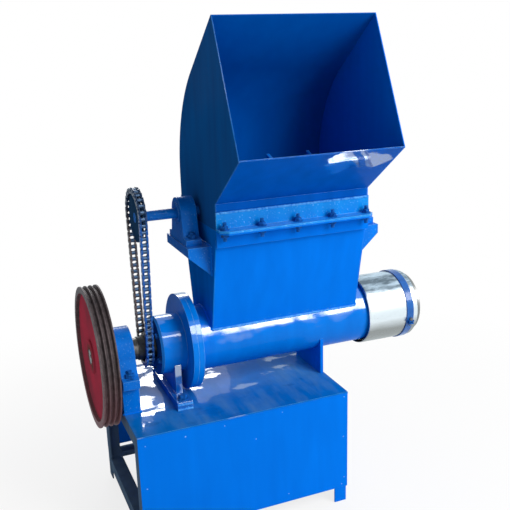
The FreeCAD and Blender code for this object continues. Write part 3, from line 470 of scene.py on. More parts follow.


# Heater sheet: bright, with a darker band with pale blotches along its top, and darker below the middle
sheetPaint = {
    "bright": (0.93, 0.94, 0.95), "stain": (0.72, 0.73, 0.74), "low": (0.36, 0.355, 0.34),
    "top": (0.17, 0.21, 0.25), "topPale": (0.62, 0.72, 0.82),
    "topSpan": (0.075, 0.103), "lowSpan": (0.005, -0.030), "shake": 0.03,
    "smearScale": 14.0, "smearStretch": (0.4, 1.0, 1.0), "stainSpan": (0.45, 0.75), "stainShare": 0.6,
    "blotchScale": 30.0, "blotchStretch": (0.35, 1.0, 1.6), "blotchSpan": (0.40, 0.62),
    "roughness": (0.18, 0.34), "roughSpan": (0.3, 0.7), "bump": (0.15, 0.0010),
}


def makeHeaterSheet(values):
    tree, shader, coords = startMaterial("heaterSheet")
    smear = noiseNode(tree, coords, values["smearScale"], 4.0, values["smearStretch"], 0.6)
    height = mathNode(tree, "SUBTRACT", axisNode(tree, coords, "Z"), shaftZ)
    height = mathNode(tree, "ADD", height, mathNode(tree, "MULTIPLY", smear, values["shake"]))
    stained = rangeNode(tree, smear, *values["stainSpan"], 0.0, values["stainShare"])
    color = mixColor(tree, stained, values["bright"], values["stain"])
    blotch = noiseNode(tree, coords, values["blotchScale"], 5.0, values["blotchStretch"], 0.68)
    tint = mixColor(tree, rangeNode(tree, blotch, *values["blotchSpan"]), values["top"], values["topPale"])
    color = mixColor(tree, rangeNode(tree, height, *values["topSpan"]), color, tint)
    color = mixColor(tree, rangeNode(tree, height, *values["lowSpan"]), color, values["low"])
    feedAll(tree, shader, {
        "Base Color": color, "Metallic": 1.0, "Normal": bumpNode(tree, smear, *values["bump"]),
        "Roughness": rangeNode(tree, smear, *values["roughSpan"], *values["roughness"]),
    })


# Chain: the front run took the blue paint, the rear run is greasy brown, the wrap is dark. Rollers are bare.
chainPaint = {
    "front": (0.012, 0.100, 0.40), "rear": (0.13, 0.100, 0.095), "wrap": (0.012, 0.034, 0.090),
    "runBlend": 0.01, "wrapFrom": -0.03, "wrapLong": 0.06, "rollerHalf": 0.0056, "rollerBlend": 0.0002,
    "worn": (0.060, 0.100, 0.170), "wornScale": 130.0, "wornSpan": (0.50, 0.62), "wornShare": 0.5,
    "wornMetallic": 0.8, "roughness": 0.32, "specular": 0.12,
}


def makeChainPaint(values):
    tree, shader, coords = startMaterial("chainPaint")
    blend = values["runBlend"]
    side = rangeNode(tree, axisNode(tree, coords, "Y"), shaftY - blend, shaftY + blend)
    color = mixColor(tree, side, values["front"], values["rear"])
    wrapZ = rotorZ + values["wrapFrom"]
    wrapped = rangeNode(tree, axisNode(tree, coords, "Z"), wrapZ, wrapZ + values["wrapLong"])
    color = mixColor(tree, wrapped, color, values["wrap"])
    off = mathNode(tree, "ABSOLUTE", mathNode(tree, "SUBTRACT", axisNode(tree, coords, "X"), chainX))
    roller = rangeNode(tree, off, values["rollerHalf"], values["rollerHalf"] - values["rollerBlend"])
    rubbed = noiseNode(tree, coords, values["wornScale"])
    rubbed = rangeNode(tree, rubbed, *values["wornSpan"], 0.0, values["wornShare"])
    bare = mathNode(tree, "MAXIMUM", rubbed, roller)
    feedAll(tree, shader, {
        "Base Color": mixColor(tree, bare, color, values["worn"]),
        "Metallic": rangeNode(tree, bare, 0.0, 1.0, 0.0, values["wornMetallic"]),
        "Roughness": values["roughness"], "Specular IOR Level": values["specular"],
    })


def makeMaterials():
    for name, values in enamelValues.items():
        makeEnamel(name, {**plainEnamel, **values})
    for name, values in metalValues.items():
        makeMetal(name, {**plainMetal, **values})
    makePulleyIron(pulleyPaint)
    makeHeaterSheet(sheetPaint)
    makeChainPaint(chainPaint)


# Finish of each node; all others are blueEnamel
finishes = {
    "tableEnamel": ("stand_top",),
    "slopeEnamel": ("hopper_front",),
    "innerEnamel": ("hopper_back",),
    "brightEnamel": ("hopper_flange_front", "hopper_flange_back"),
    "glossEnamel": ("bearing_drum", "barrel_flange"),
    "barrelEnamel": ("barrel",),
    "dullEnamel": ("hopper_side_left", "drum_end_cover"),
    "postEnamel": ("top_rail_left", "top_rail_back", "lower_rail_left", "lower_rail_back", "post_front_left",
                   "post_back_left"),
    "chuteEnamel": ("chamber_side_left",),
    "saddleEnamel": ("drum_support",),
    "castEnamel": ("main_pillow_block", "pillow_riser", "rotor_pillow_left", "rotor_pillow_right",
                   "bearing_shelf_left", "bearing_shelf_right", "rotor_shaft", "rotor_blades"),
    "strapPaint": ("heater_strap",),
    "pulleyIron": ("pulley",),
    "turnedSteel": ("feed_screw", "outlet_plate"),
    "shaftSteel": ("main_shaft",),
    "greasedIron": ("drive_sprocket",),
    "sprocketPaint": ("driven_sprocket",),
    "chainPaint": ("drive_chain",),
    "heaterSheet": ("heater_cover_inner", "heater_cover_outer"),
}


def dressNodes():
    chosen = {node: finish for finish, names in finishes.items() for node in names}
    for name, item in nodes.items():
        item.data.materials.clear()
        item.data.materials.append(paints[chosen.get(name, "blueEnamel")])


# Geometry Nodes helpers
def startTree(name, inputs):
    # Each input is given by its first value, or by its kind in a word
    tree = bpy.data.node_groups.new(name, "GeometryNodeTree")
    for label, value in {"Geometry": "Geometry", **inputs}.items():
        kind = {float: "Float", int: "Int", str: value}[type(value)]
        socket = tree.interface.new_socket(label, in_out="INPUT", socket_type=f"NodeSocket{kind}")
        if kind != value:
            socket.default_value = value
    tree.interface.new_socket("Geometry", in_out="OUTPUT", socket_type="NodeSocketGeometry")
    return tree, tree.nodes.new("NodeGroupInput").outputs, tree.nodes.new("NodeGroupOutput")


def liftedBy(tree, geometry, height):
    lift = outputOf(tree, "ShaderNodeCombineXYZ", {"Z": height})
    return outputOf(tree, "GeometryNodeTransform", {"Geometry": geometry, "Translation": lift})


def pointValue(tree, label, kind):
    return outputOf(tree, "GeometryNodeInputNamedAttribute", {"Name": label}, data_type=kind)


def facingAim(tree):
    aim = pointValue(tree, "aim", "FLOAT_VECTOR")
    return outputOf(tree, "FunctionNodeAlignRotationToVector", {"Vector": aim}, axis="Z")


def randomFloat(tree, seed, least, most):
    inputs = {"Seed": seed, 2: least, 3: most}
    return addNode(tree, "FunctionNodeRandomValue", inputs, data_type="FLOAT").outputs[1]


def finishTree(tree, geometry, material, output):
    solid = outputOf(tree, "GeometryNodeRealizeInstances", {"Geometry": geometry})
    painted = outputOf(tree, "GeometryNodeSetMaterial", {"Geometry": solid, "Material": material})
    feed(tree, output.inputs[0], painted)


def addPiece(name, mesh, body):
    print("made", name, len(mesh.polygons), "faces")
    piece = inScene(name, mesh)
    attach(piece, body)
    return piece


def runTree(name, tree, source, values):
    # Evaluates the tree on source and keeps the result as one plain mesh on the root
    modifier = source.modifiers.new(tree.name, "NODES")
    modifier.node_group = tree
    for item in tree.interface.items_tree:
        if item.in_out == "INPUT" and item.name in values:
            modifier[item.identifier] = values[item.name]
    bpy.context.view_layer.update()
    mesh = bpy.data.meshes.new_from_object(source.evaluated_get(bpy.context.evaluated_depsgraph_get()))
    source.modifiers.remove(modifier)
    bpy.data.objects.remove(source)
    mesh.name = name
    return addPiece(name, mesh, "root")


def pointObject(points, aims=None, extra=None):
    mesh = bpy.data.meshes.new("places")
    mesh.from_pydata([tuple(point) for point in points], [], [])
    if aims:
        aimed = mesh.attributes.new("aim", "FLOAT_VECTOR", "POINT")
        aimed.data.foreach_set("vector", [value for aim in aims for value in aim])
    for label, numbers in (extra or {}).items():
        mesh.attributes.new(label, "FLOAT", "POINT").data.foreach_set("value", numbers)
    return inScene("places", mesh)


def pathObject(paths):
    points, edges = [], []
    for path in paths:
        start = len(points)
        points += [tuple(point) for point in path]
        edges += [(start + step, start + step + 1) for step in range(len(path) - 1)]
    mesh = bpy.data.meshes.new("paths")
    mesh.from_pydata(points, edges, [])
    return inScene("paths", mesh)


# Helpers for shapes built face by face
def roundShaft(x, radius, angle):
    # A point at that angle round the main shaft's axis
    return x, shaftY + radius * math.sin(angle), shaftZ + radius * math.cos(angle)


def shaftCircle(x, radius, count, start=0):
    return [roundShaft(x, radius, math.radians(start) + 2 * math.pi * step / count) for step in range(count)]


def bridge(build, ring, after):
    # Faces between two closed rings of as many points
    for side in zip(ring, ring[1:] + ring[:1], after[1:] + after[:1], after):
        build.faces.new(side)


def closeRings(build, rings):
    for ring, after in zip(rings, rings[1:] + rings[:1]):
        bridge(build, ring, after)


def addBlock(build, middle, size, turn=None):
    place = Matrix.Translation(middle)
    if turn:
        place = place @ turn
    bmesh.ops.create_cube(build, size=1.0, matrix=place @ Matrix.Diagonal((*size, 1)))


def meshOf(name, build):
    mesh = bpy.data.meshes.new(name)
    build.to_mesh(mesh)
    build.free()
    return mesh


def meshPiece(name, build, body, material, smooth=True):
    bmesh.ops.recalc_face_normals(build, faces=build.faces)
    mesh = meshOf(name, build)
    mesh.materials.append(paints[material])
    if smooth:
        mesh.shade_smooth()
    else:
        mesh.shade_flat()
    return addPiece(name, mesh, body)


# Bolts. A head's sizes are shares of its thread.
headValues = {
    "washerWide": 1.12, "washerTall": 0.2, "nutWide": 0.92, "nutTall": 0.65, "capWide": 0.77, "capTall": 0.1,
    "studWide": 0.46, "studSink": 0.0004,
}
boltValues = {
    "joint": {"count": 5, "inset": 0.0186, "fromFace": 0.0218, "leg": 0.005, "thread": 0.012, "stud": 0.010},
    "pillow": {"inset": 0.0243, "foot": 0.026, "thread": 0.018, "stud": 0.008},
    "smallPillow": {"inset": 0.020, "foot": 0.018, "thread": 0.014, "stud": 0.006},
    "cover": {"count": 6, "radius": 0.074, "start": -47, "thread": 0.009},
    "outlet": {"count": 6, "radius": 0.070, "start": 10, "thread": 0.009},
    "support": {"inset": 0.0233, "foot": 0.025, "thread": 0.015},
    "barrelScrew": {"place": (-0.2275, -0.0440, 0.5640), "aim": (0, -0.978, 0.210), "thread": 0.006},
}


def boltTree(values):
    # Washer, chamfered hexagon and stud end, standing on each point along its aim
    inputs = {"thread": 0.01, "stud": 0.0, "seed": 3, "material": "Material"}
    tree, given, output = startTree("boltHead", inputs)
    stud = given["stud"]

    def share(amount):
        return mathNode(tree, "MULTIPLY", given["thread"], amount)

    def middle(base, tall):
        return mathNode(tree, "ADD", base, mathNode(tree, "MULTIPLY", tall, 0.5))

    washer, nut, cap = [share(values[tall]) for tall in ("washerTall", "nutTall", "capTall")]
    nutTop = share(values["washerTall"] + values["nutTall"])
    capTop = share(values["washerTall"] + values["nutTall"] + values["capTall"])
    nutRadius, studDepth = share(values["nutWide"]), mathNode(tree, "ADD", stud, values["studSink"])
    parts = (
        ("Cylinder", middle(0.0, washer), {
            "Vertices": 20, "Radius": share(values["washerWide"]), "Depth": washer}),
        ("Cylinder", middle(washer, nut), {"Vertices": 6, "Radius": nutRadius, "Depth": nut}),
        ("Cone", nutTop, {
            "Vertices": 6, "Radius Top": share(values["capWide"]), "Radius Bottom": nutRadius, "Depth": cap}),
        ("Cylinder", middle(capTop, stud), {
            "Vertices": 12, "Radius": share(values["studWide"]), "Depth": studDepth}),
    )
    joined = addNode(tree, "GeometryNodeJoinGeometry")
    for kind, place, inputs in parts:
        shape = outputOf(tree, "GeometryNodeMesh" + kind, inputs)
        feed(tree, joined.inputs[0], liftedBy(tree, shape, place))
    around = outputOf(tree, "ShaderNodeCombineXYZ", {"Z": randomFloat(tree, given["seed"], 0.0, math.pi)})
    turned = outputOf(tree, "FunctionNodeRotateRotation", {
        "Rotation": facingAim(tree), "Rotate By": around}, rotation_space="LOCAL")
    placed = outputOf(tree, "GeometryNodeInstanceOnPoints", {
        "Points": given["Geometry"], "Instance": joined.outputs[0], "Rotation": turned})
    finishTree(tree, placed, given["material"], output)
    return tree


def addBolts(name, tree, places, values, material="boltPaint"):
    settings = {"stud": 0.0, **values, "seed": len(places), "material": paints[material]}
    runTree(name, tree, pointObject(*zip(*places)), settings)


def footPlaces(values, *feet):
    # Both holes of each foot: the middle of its width, in from either end, on its upper face
    places = []
    for node in feet:
        corner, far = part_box(node)
        for y in (corner.y + values["inset"], far.y - values["inset"]):
            places.append((((corner.x + far.x) / 2, y, corner.z + values["foot"]), up))
    return places


def jointPlaces(values):
    # Head above and nut below the angle joint, front and back
    places = []
    for side, node in ((-1, "hopper_flange_front"), (1, "hopper_flange_back")):
        corner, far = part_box(node)
        y = (far.y if side < 0 else corner.y) + side * values["fromFace"]
        span = far.x - corner.x - 2 * values["inset"]
        for step in range(values["count"]):
            x = corner.x + values["inset"] + span * step / (values["count"] - 1)
            places += [((x, y, corner.z + values["leg"]), up), ((x, y, corner.z - values["leg"]), down)]
    return places


def circlePlaces(values, x, aim):
    return [(spot, aim) for spot in shaftCircle(x, values["radius"], values["count"], values["start"])]


def makeBolts(tree, kinds):
    addBolts("joint_bolts", tree, jointPlaces(kinds["joint"]), kinds["joint"])
    addBolts("pillow_bolts", tree, footPlaces(kinds["pillow"], "main_pillow_block"), kinds["pillow"])
    small = kinds["smallPillow"]
    addBolts("rotor_pillow_bolts", tree, footPlaces(small, "rotor_pillow_left", "rotor_pillow_right"), small)
    addBolts("cover_bolts", tree, circlePlaces(kinds["cover"], low("drum_end_cover").x, left), kinds["cover"])
    outlet = circlePlaces(kinds["outlet"], high("outlet_plate").x, right)
    addBolts("outlet_bolts", tree, outlet, kinds["outlet"], "turnedSteel")
    addBolts("support_bolts", tree, footPlaces(kinds["support"], "drum_support"), kinds["support"])
    screw = kinds["barrelScrew"]
    addBolts("barrel_screw", tree, [(screw["place"], screw["aim"])], screw, "greasedIron")


# Weld beads
weldValues = {
    "heavy": 0.0040, "pale": 0.0036, "seam": 0.0014, "step": 0.0026, "rough": 0.55,
    "rippleScale": 260.0, "lumpScale": 400.0, "lumpShare": 0.9,
    "clear": 0.001, "footClear": 0.002, "flangeIn": 0.003, "padRise": 0.017,
    "arcSteps": 24, "arcClear": 0.0005,
}


def weldTree(values):
    # Rippled bead swept along the edges of a path mesh, then roughened by noise
    inputs = {"radius": 0.003, "step": 0.0022, "rough": 0.35, "material": "Material"}
    tree, given, output = startTree("weldBead", inputs)
    curve = outputOf(tree, "GeometryNodeMeshToCurve", {"Mesh": given["Geometry"]})
    even = outputOf(tree, "GeometryNodeResampleCurve", {
        "Curve": curve, "Length": given["step"]}, mode="LENGTH")
    place = outputOf(tree, "GeometryNodeInputPosition")
    ripple = noiseNode(tree, place, values["rippleScale"], 1.0)
    swing = mathNode(tree, "MULTIPLY", given["rough"], mathNode(tree, "SUBTRACT", ripple, 0.5))
    ring = outputOf(tree, "GeometryNodeCurvePrimitiveCircle", {"Resolution": 8, "Radius": given["radius"]})
    swept = outputOf(tree, "GeometryNodeCurveToMesh", {
        "Curve": even, "Profile Curve": ring, "Scale": mathNode(tree, "ADD", 1.0, swing), "Fill Caps": True})
    lump = addNode(tree, "ShaderNodeTexNoise", {"Vector": place, "Scale": values["lumpScale"], "Detail": 2.0})
    centred = outputOf(tree, "ShaderNodeVectorMath", {
        0: lump.outputs["Color"], 1: (0.5, 0.5, 0.5)}, operation="SUBTRACT")
    lumpSize = mathNode(tree, "MULTIPLY", given["radius"], values["lumpShare"])
    drift = outputOf(tree, "ShaderNodeVectorMath", {0: centred, "Scale": lumpSize}, operation="SCALE")
    lumpy = outputOf(tree, "GeometryNodeSetPosition", {"Geometry": swept, "Offset": drift})
    soft = outputOf(tree, "GeometryNodeSetShadeSmooth", {"Geometry": lumpy})
    finishTree(tree, soft, given["material"], output)
    return tree


def loopPath(corner, far, z):
    return [(corner.x, corner.y, z), (far.x, corner.y, z), (far.x, far.y, z), (corner.x, far.y, z),
            (corner.x, corner.y, z)]


def chuteSeams(values):
    # Front, back and both arched ends of the chute's foot on the barrel
    ends = low("chamber_side_left").x, high("chamber_side_right").x
    z = low("chamber_front").z + values["clear"]
    frontSeam, backSeam = [[(x, shaftY + side * (throatHalf + values["clear"]), z) for x in ends]
                           for side in (-1, 1)]
    arcs = []
    for x in (ends[0] - values["clear"], ends[1] + values["clear"]):
        arc = []
        for step in range(values["arcSteps"] + 1):
            y = -throatHalf + 2 * throatHalf * step / values["arcSteps"]
            arc.append((x, shaftY + y, shaftZ + math.sqrt(barrelRadius ** 2 - y ** 2) + values["arcClear"]))
        arcs.append(arc)
    return frontSeam, backSeam, arcs


def shelfSeams():
    # Three sides of each bearing shelf on the chute
    seams = []
    for node, side in (("bearing_shelf_left", 1), ("bearing_shelf_right", -1)):
        corner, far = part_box(node)
        x = far.x if side > 0 else corner.x
        seams.append([(x, corner.y, far.z), (x, far.y, far.z)])
        seams += [[(x, y, far.z), (x, y, corner.z)] for y in (corner.y, far.y)]
    return seams


def makeWelds(values):
    tree = weldTree(values)

    def addWeld(name, paths, radius, material):
        runTree(name, tree, pathObject(paths), {**values, "radius": radius, "material": paints[material]})

    frontSeam, backSeam, arcs = chuteSeams(values)
    corner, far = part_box("pillow_riser")
    riser = loopPath(corner, far, corner.z + values["clear"])
    corner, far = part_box("drum_support")
    foot = corner.z + values["footClear"]
    padBack = [(corner.x, far.y, foot), (far.x, far.y, foot)]
    padFront, padLow = [[(corner.x, corner.y, z), (far.x, corner.y, z)]
                        for z in (corner.z + values["padRise"], foot)]
    addWeld("weld_beads", [backSeam, *arcs, riser, padBack, *shelfSeams()], values["heavy"], "blueEnamel")
    corner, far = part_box("hopper_flange_front")
    flangeTop = [(x, far.y - values["flangeIn"], far.z) for x in (corner.x, far.x)]
    addWeld("ragged_beads", [frontSeam, flangeTop, padFront, padLow], values["pale"], "weldPaint")
    corner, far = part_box("stand_top")
    seams = [[(corner.x, y, corner.z), (far.x, y, corner.z)] for y in (corner.y, far.y)]
    seams.append([(far.x, corner.y, corner.z), (far.x, far.y, corner.z)])
    addWeld("seam_beads", seams, values["seam"], "blueEnamel")


# Rivets on the panels, as (x, z), and spatter near the welds
rivetSpots = (
    (-0.453, 0.351), (-0.336, 0.353), (-0.217, 0.359), (-0.033, 0.361), (0.176, 0.366), (0.174, 0.230),
    (0.177, 0.086), (0.168, 0.063), (-0.456, 0.217), (-0.017, 0.079), (-0.120, 0.293),
)
rivetValues = {"radius": 0.0022, "flat": 0.40, "least": 0.7, "seed": 5}
spatterValues = {
    "radius": 0.0017, "flat": 0.6, "least": 0.35, "seed": 7, "placeSeed": 11,
    "shelfCount": 34, "shelfBefore": 0.012, "shelfPast": 0.030,
    "padCount": 18, "padClear": 0.003, "seamCount": 60, "seamTall": 0.016,
}


def rivetTree():
    # Low domed heads: flattened balls half sunk in the sheet
    inputs = {"radius": 0.003, "flat": 0.5, "least": 0.75, "seed": 5, "material": "Material"}
    tree, given, output = startTree("rivetHead", inputs)
    ball = outputOf(tree, "GeometryNodeMeshUVSphere", {"Segments": 12, "Rings": 6, "Radius": given["radius"]})
    size = randomFloat(tree, given["seed"], given["least"], 1.0)
    scale = outputOf(tree, "ShaderNodeCombineXYZ", {
        "X": size, "Y": size, "Z": mathNode(tree, "MULTIPLY", size, given["flat"])})
    placed = outputOf(tree, "GeometryNodeInstanceOnPoints", {
        "Points": given["Geometry"], "Instance": ball, "Rotation": facingAim(tree), "Scale": scale})
    joined = outputOf(tree, "GeometryNodeRealizeInstances", {"Geometry": placed})
    soft = outputOf(tree, "GeometryNodeSetShadeSmooth", {"Geometry": joined})
    finishTree(tree, soft, given["material"], output)
    return tree


def addRivets(name, tree, places, values, material):
    runTree(name, tree, pointObject(*zip(*places)), {**values, "material": paints[material]})


def scatter(dice, count, corner, far, aim):
    # Random spots in the box between two corners, all facing one way
    return [(tuple(dice.uniform(near, end) for near, end in zip(corner, far)), aim) for step in range(count)]


def spatterPlaces(values):
    dice = random.Random(values["placeSeed"])
    places = []
    for node, x, aim in (("bearing_shelf_left", low("chamber_side_left").x, left),
                         ("bearing_shelf_right", high("chamber_side_right").x, right)):
        corner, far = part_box(node)
        start = (x, corner.y - values["shelfBefore"], corner.z)
        places += scatter(dice, values["shelfCount"], start, (x, corner.y + values["shelfPast"], far.z), aim)
    corner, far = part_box("drum_support")
    start = (corner.x, corner.y, corner.z + values["padClear"])
    end = (far.x, corner.y, corner.z + boltValues["support"]["foot"] - values["padClear"])
    places += scatter(dice, values["padCount"], start, end, front)
    # Along the chute's front seam, laid back to the plate's slope
    corner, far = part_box("chamber_front")
    throatY = shaftY - throatHalf
    end = (far.x, 0, corner.z + values["seamTall"])
    for (x, _, z), aim in scatter(dice, values["seamCount"], (corner.x, 0, corner.z), end, front):
        slant = (corner.y - throatY) * (z - corner.z) / (far.z - corner.z)
        places.append(((x, throatY + slant, z), aim))
    return places


def makeRivets(rivets, spatter):
    tree = rivetTree()
    faces = ((low("front_panel").y, front), (high("back_panel").y, back))
    places = [((x, y, z), aim) for y, aim in faces for x, z in rivetSpots]
    addRivets("panel_rivets", tree, places, rivets, "chipped")
    addRivets("weld_spatter", tree, spatterPlaces(spatter), spatter, "weldPaint")


# Key in the pulley's hub, and the ring where the shaft's end meets the hub
keyValues = {"wide": 0.014, "tall": 0.005, "out": 0.0010, "deep": 0.004, "fromAxis": -0.0069, "rise": 0.005}
ringValues = {"inside": 0.0206, "outside": 0.0222, "out": 0.0004, "deep": 0.002, "around": 48}


def makeKey(key, ring):
    faceX = low("main_shaft").x
    build = bmesh.new()
    middle = (faceX - key["out"] / 2 + key["deep"] / 2, shaftY + key["fromAxis"], shaftZ + key["rise"])
    addBlock(build, middle, (key["out"] + key["deep"], key["wide"], key["tall"]))
    outX, inX = faceX - ring["out"], faceX + ring["deep"]
    profile = ((outX, ring["inside"]), (outX, ring["outside"]), (inX, ring["outside"]), (inX, ring["inside"]))
    closeRings(build, [[build.verts.new(spot) for spot in shaftCircle(x, radius, ring["around"])]
                       for x, radius in profile])
    meshPiece("shaft_key", build, "main_shaft", "greasedIron", False)


# Two ears on the heater strap with a screw through them
clampValues = {
    "angle": -104, "long": 0.018, "gap": 0.004, "tall": 0.013, "thick": 0.005, "sink": 0.002,
    "thread": 0.006, "stud": 0.003,
}


def makeClamp(tree, values):
    corner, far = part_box("heater_strap")
    radius = (far.z - corner.z) / 2
    angle = math.radians(values["angle"])
    outward = Vector((0, math.sin(angle), math.cos(angle)))
    along = Vector((0, math.cos(angle), -math.sin(angle)))
    turn = Matrix((Vector((1, 0, 0)), along, outward)).transposed().to_4x4()
    build = bmesh.new()
    rise = radius + values["tall"] / 2 - values["sink"]
    base = Vector(((corner.x + far.x) / 2, shaftY, shaftZ)) + outward * rise
    reach = (values["gap"] + values["thick"]) / 2
    for side in (-1, 1):
        size = (values["long"], values["thick"], values["tall"])
        addBlock(build, base + along * side * reach, size, turn)
    meshPiece("strap_ears", build, "root", "boltPaint", False)
    places = [(base + along * side * (reach + values["thick"] / 2), along * side) for side in (-1, 1)]
    addBolts("strap_screw", tree, places, values, "turnedSteel")


# Drive chain
chainValues = {
    "pitch": 0.01905, "links": 64, "driverTeeth": 17, "drivenTeeth": 26, "rollerRadius": 0.0062,
    "inside": 0.0057, "plate": 0.0027, "plateHalf": 0.0091, "plateTurn": 70, "plateSteps": 7, "waist": 0.74,
    "plateGap": 0.0003, "pinRadius": 0.0029, "pinReach": 0.0125, "sides": 14,
}


def chainJoints(values):
    # Joint places round both sprockets, one pitch apart, as (y, z) from the main shaft
    pitch = values["pitch"]
    small, large = [pitch / 2 / math.sin(math.pi / values[teeth]) for teeth in ("driverTeeth", "drivenTeeth")]
    distance = rotorZ - shaftZ
    tilt = math.asin((large - small) / distance)
    straight = math.sqrt(distance ** 2 - (large - small) ** 2)
    # Arcs and straight runs in turn: length, angle and radius at the start, height of the centre, arc or not
    runs = (
        ((math.pi / 2 - tilt) * small, -math.pi / 2, small, 0.0, True),
        (straight, -tilt, small, 0.0, False),
        ((math.pi + 2 * tilt) * large, -tilt, large, distance, True),
        (straight, math.pi + tilt, large, distance, False),
        (math.inf, math.pi + tilt, small, 0.0, True),
    )
    for link in range(values["links"]):
        along = link * pitch
        for length, angle, radius, centre, arc in runs:
            if along < length:
                break
            along -= length
        if arc:
            angle += along / radius
            along = 0.0
        yield (radius * math.cos(angle) - along * math.sin(angle),
               centre + radius * math.sin(angle) + along * math.cos(angle))


def linkOutline(values):
    # Rounded ends one pitch apart, with a waist between them, as (along, across)
    pitch, half, turn, steps = [values[label] for label in ("pitch", "plateHalf", "plateTurn", "plateSteps")]
    outline = []
    for centre, begin, waist in ((pitch, -turn, values["waist"]), (0.0, 180 - turn, -values["waist"])):
        for step in range(steps + 1):
            angle = math.radians(begin + 2 * turn * step / steps)
            outline.append((centre + half * math.cos(angle), half * math.sin(angle)))
        outline.append((pitch / 2, waist * half))
    return outline


def linkShape(name, values, offset, reach, radius):
    # One link along Y: two waisted plates at offset, with a roller or pin of that reach at both ends
    build = bmesh.new()
    outline = linkOutline(values)
    for x in (-offset, offset):
        inner, outer = [[build.verts.new((x + shift, y, z)) for y, z in outline]
                        for shift in (-values["plate"] / 2, values["plate"] / 2)]
        build.faces.new(inner[::-1])
        build.faces.new(outer)
        bridge(build, inner, outer)
    turn = Matrix.Rotation(math.radians(90), 4, "Y")
    for centre in (0.0, values["pitch"]):
        bmesh.ops.create_cone(build, cap_ends=True, segments=values["sides"], radius1=radius, radius2=radius,
                              depth=2 * reach, matrix=Matrix.Translation((0, centre, 0)) @ turn)
    bmesh.ops.recalc_face_normals(build, faces=build.faces)
    return inScene(name, meshOf(name, build))


def chainTree():
    # An inner or an outer link on each point, turned towards the next
    inputs = {"inner": "Object", "outer": "Object", "material": "Material"}
    tree, given, output = startTree("chainLinks", inputs)
    outer = pointValue(tree, "outer", "FLOAT")
    angles = outputOf(tree, "ShaderNodeCombineXYZ", {"X": pointValue(tree, "turn", "FLOAT")})
    rotation = outputOf(tree, "FunctionNodeEulerToRotation", {"Euler": angles})
    joined = addNode(tree, "GeometryNodeJoinGeometry")
    for label, wanted in (("inner", 0.0), ("outer", 1.0)):
        shape = addNode(tree, "GeometryNodeObjectInfo", {"Object": given[label]})
        chosen = outputOf(tree, "FunctionNodeCompare", {
            0: outer, 1: wanted, "Epsilon": 0.1}, data_type="FLOAT", operation="EQUAL")
        placed = outputOf(tree, "GeometryNodeInstanceOnPoints", {
            "Points": given["Geometry"], "Selection": chosen, "Instance": shape.outputs["Geometry"],
            "Rotation": rotation})
        feed(tree, joined.inputs[0], placed)
    finishTree(tree, joined.outputs[0], given["material"], output)
    return tree


def makeChain(values):
    spots = [Vector((chainX, shaftY + y, shaftZ + z)) for y, z in chainJoints(values)]
    turns, outers = [], []
    for index, spot in enumerate(spots):
        ahead = spots[(index + 1) % len(spots)] - spot
        turns.append(math.atan2(ahead.z, ahead.y))
        outers.append(float(index % 2))
    inside, plate = values["inside"], values["plate"]
    inner = linkShape("innerLink", values, inside + plate / 2, inside, values["rollerRadius"])
    outerOffset = inside + plate * 1.5 + values["plateGap"]
    outer = linkShape("outerLink", values, outerOffset, values["pinReach"], values["pinRadius"])
    source = pointObject(spots, None, {"turn": turns, "outer": outers})
    settings = {"inner": inner, "outer": outer, "material": paints["chainPaint"]}
    chain = runTree("roller_chain", chainTree(), source, settings)
    for item in (inner, outer):
        bpy.data.objects.remove(item)
    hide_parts("drive_chain")


# Heater covers: thin bright sheet with soft dents and a rolled lip
coverValues = {
    "around": 120, "along": 28, "sheet": 0.0034, "lip": 0.0016, "lipLong": 0.003,
    "dent": 0.0016, "dentShift": 0.25, "dentsAlong": 6, "dentsRound": 1.6,
}


def coverProfile(values, corner, far, radius):
    # Outer skin with lips that roll in, then the inner skin back again, as (x, radius, outside)
    length = far.x - corner.x
    outer, inner = [], []
    for step in range(values["along"] + 1):
        share = step / values["along"]
        lip = values["lip"] * max(0, 1 - min(share, 1 - share) * length / values["lipLong"])
        outer.append((corner.x + length * share, radius - lip, True))
        inner.append((corner.x + length * share, radius - values["sheet"], False))
    return outer + inner[::-1]


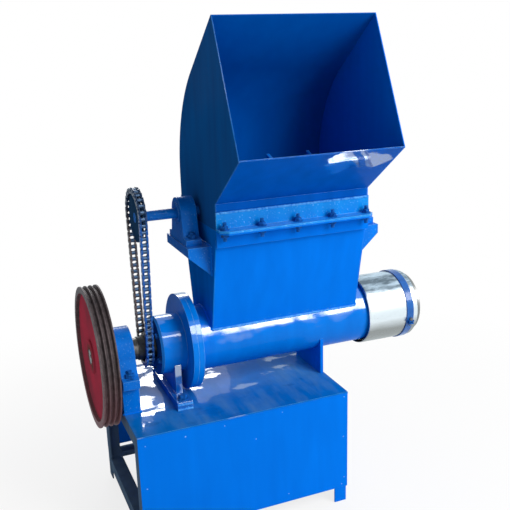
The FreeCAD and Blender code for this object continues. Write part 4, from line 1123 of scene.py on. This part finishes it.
def makeCover(values, name, node):
    corner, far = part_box(node)
    radius = (far.z - corner.z) / 2
    across = values["dentsRound"]
    build = bmesh.new()
    rings = []
    for x, reach, outside in coverProfile(values, corner, far, radius):
        ring = []
        for step in range(values["around"]):
            angle = 2 * math.pi * step / values["around"]
            spot = Vector((x * values["dentsAlong"], math.cos(angle) * across, math.sin(angle) * across))
            dent = values["dent"] * (noise.noise(spot) - values["dentShift"]) if outside else 0.0
            ring.append(build.verts.new(roundShaft(x, min(reach + dent, radius), angle)))
        rings.append(ring)
    closeRings(build, rings)
    piece = meshPiece(name, build, "root", "heaterSheet")
    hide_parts(node)


# Floor: pale where light falls on it, plain white further out and towards the lens
floorValues = {
    "size": 30, "drop": 0.0006, "color": (0.90, 0.90, 0.90), "roughness": 0.9,
    "near": 0.55, "far": 1.9, "least": 0.80,
}


def makeFloor(values):
    build = bmesh.new()
    bmesh.ops.create_grid(build, x_segments=1, y_segments=1, size=values["size"])
    mesh = meshOf("floor", build)
    tree, shader, coords = startMaterial("paleFloor")
    feedAll(tree, shader, {"Base Color": values["color"], "Roughness": values["roughness"]})
    away = measureNode(tree, "LENGTH", coords)
    share = rangeNode(tree, away, values["near"], values["far"], values["least"], 1.0)
    share = mathNode(tree, "MULTIPLY", share, seenDirectly(tree))
    glow = outputOf(tree, "ShaderNodeEmission", {"Color": shopWhite(tree)})
    mix = outputOf(tree, "ShaderNodeMixShader", {0: share, 1: shader.outputs[0], 2: glow})
    feed(tree, tree.nodes["Material Output"].inputs["Surface"], mix)
    mesh.materials.append(paints["paleFloor"])
    floor = inScene("floor", mesh)
    floor.location.z = -values["drop"]


makeCamera(cameraValues)
for lampName, lampSizes in lampValues.items():
    makeLamp(lampName, lampSizes)
makeWorld(worldValues)
print("camera and light ready")
makeMaterials()
dressNodes()
print("materials ready")
boltHead = boltTree(headValues)
makeBolts(boltHead, boltValues)
makeWelds(weldValues)
makeRivets(rivetValues, spatterValues)
makeKey(keyValues, ringValues)
makeClamp(boltHead, clampValues)
makeChain(chainValues)
makeCover(coverValues, "inner_cover_sheet", "heater_cover_inner")
makeCover(coverValues, "outer_cover_sheet", "heater_cover_outer")
makeFloor(floorValues)
scene.view_settings.view_transform = "Standard"
print("scene ready")
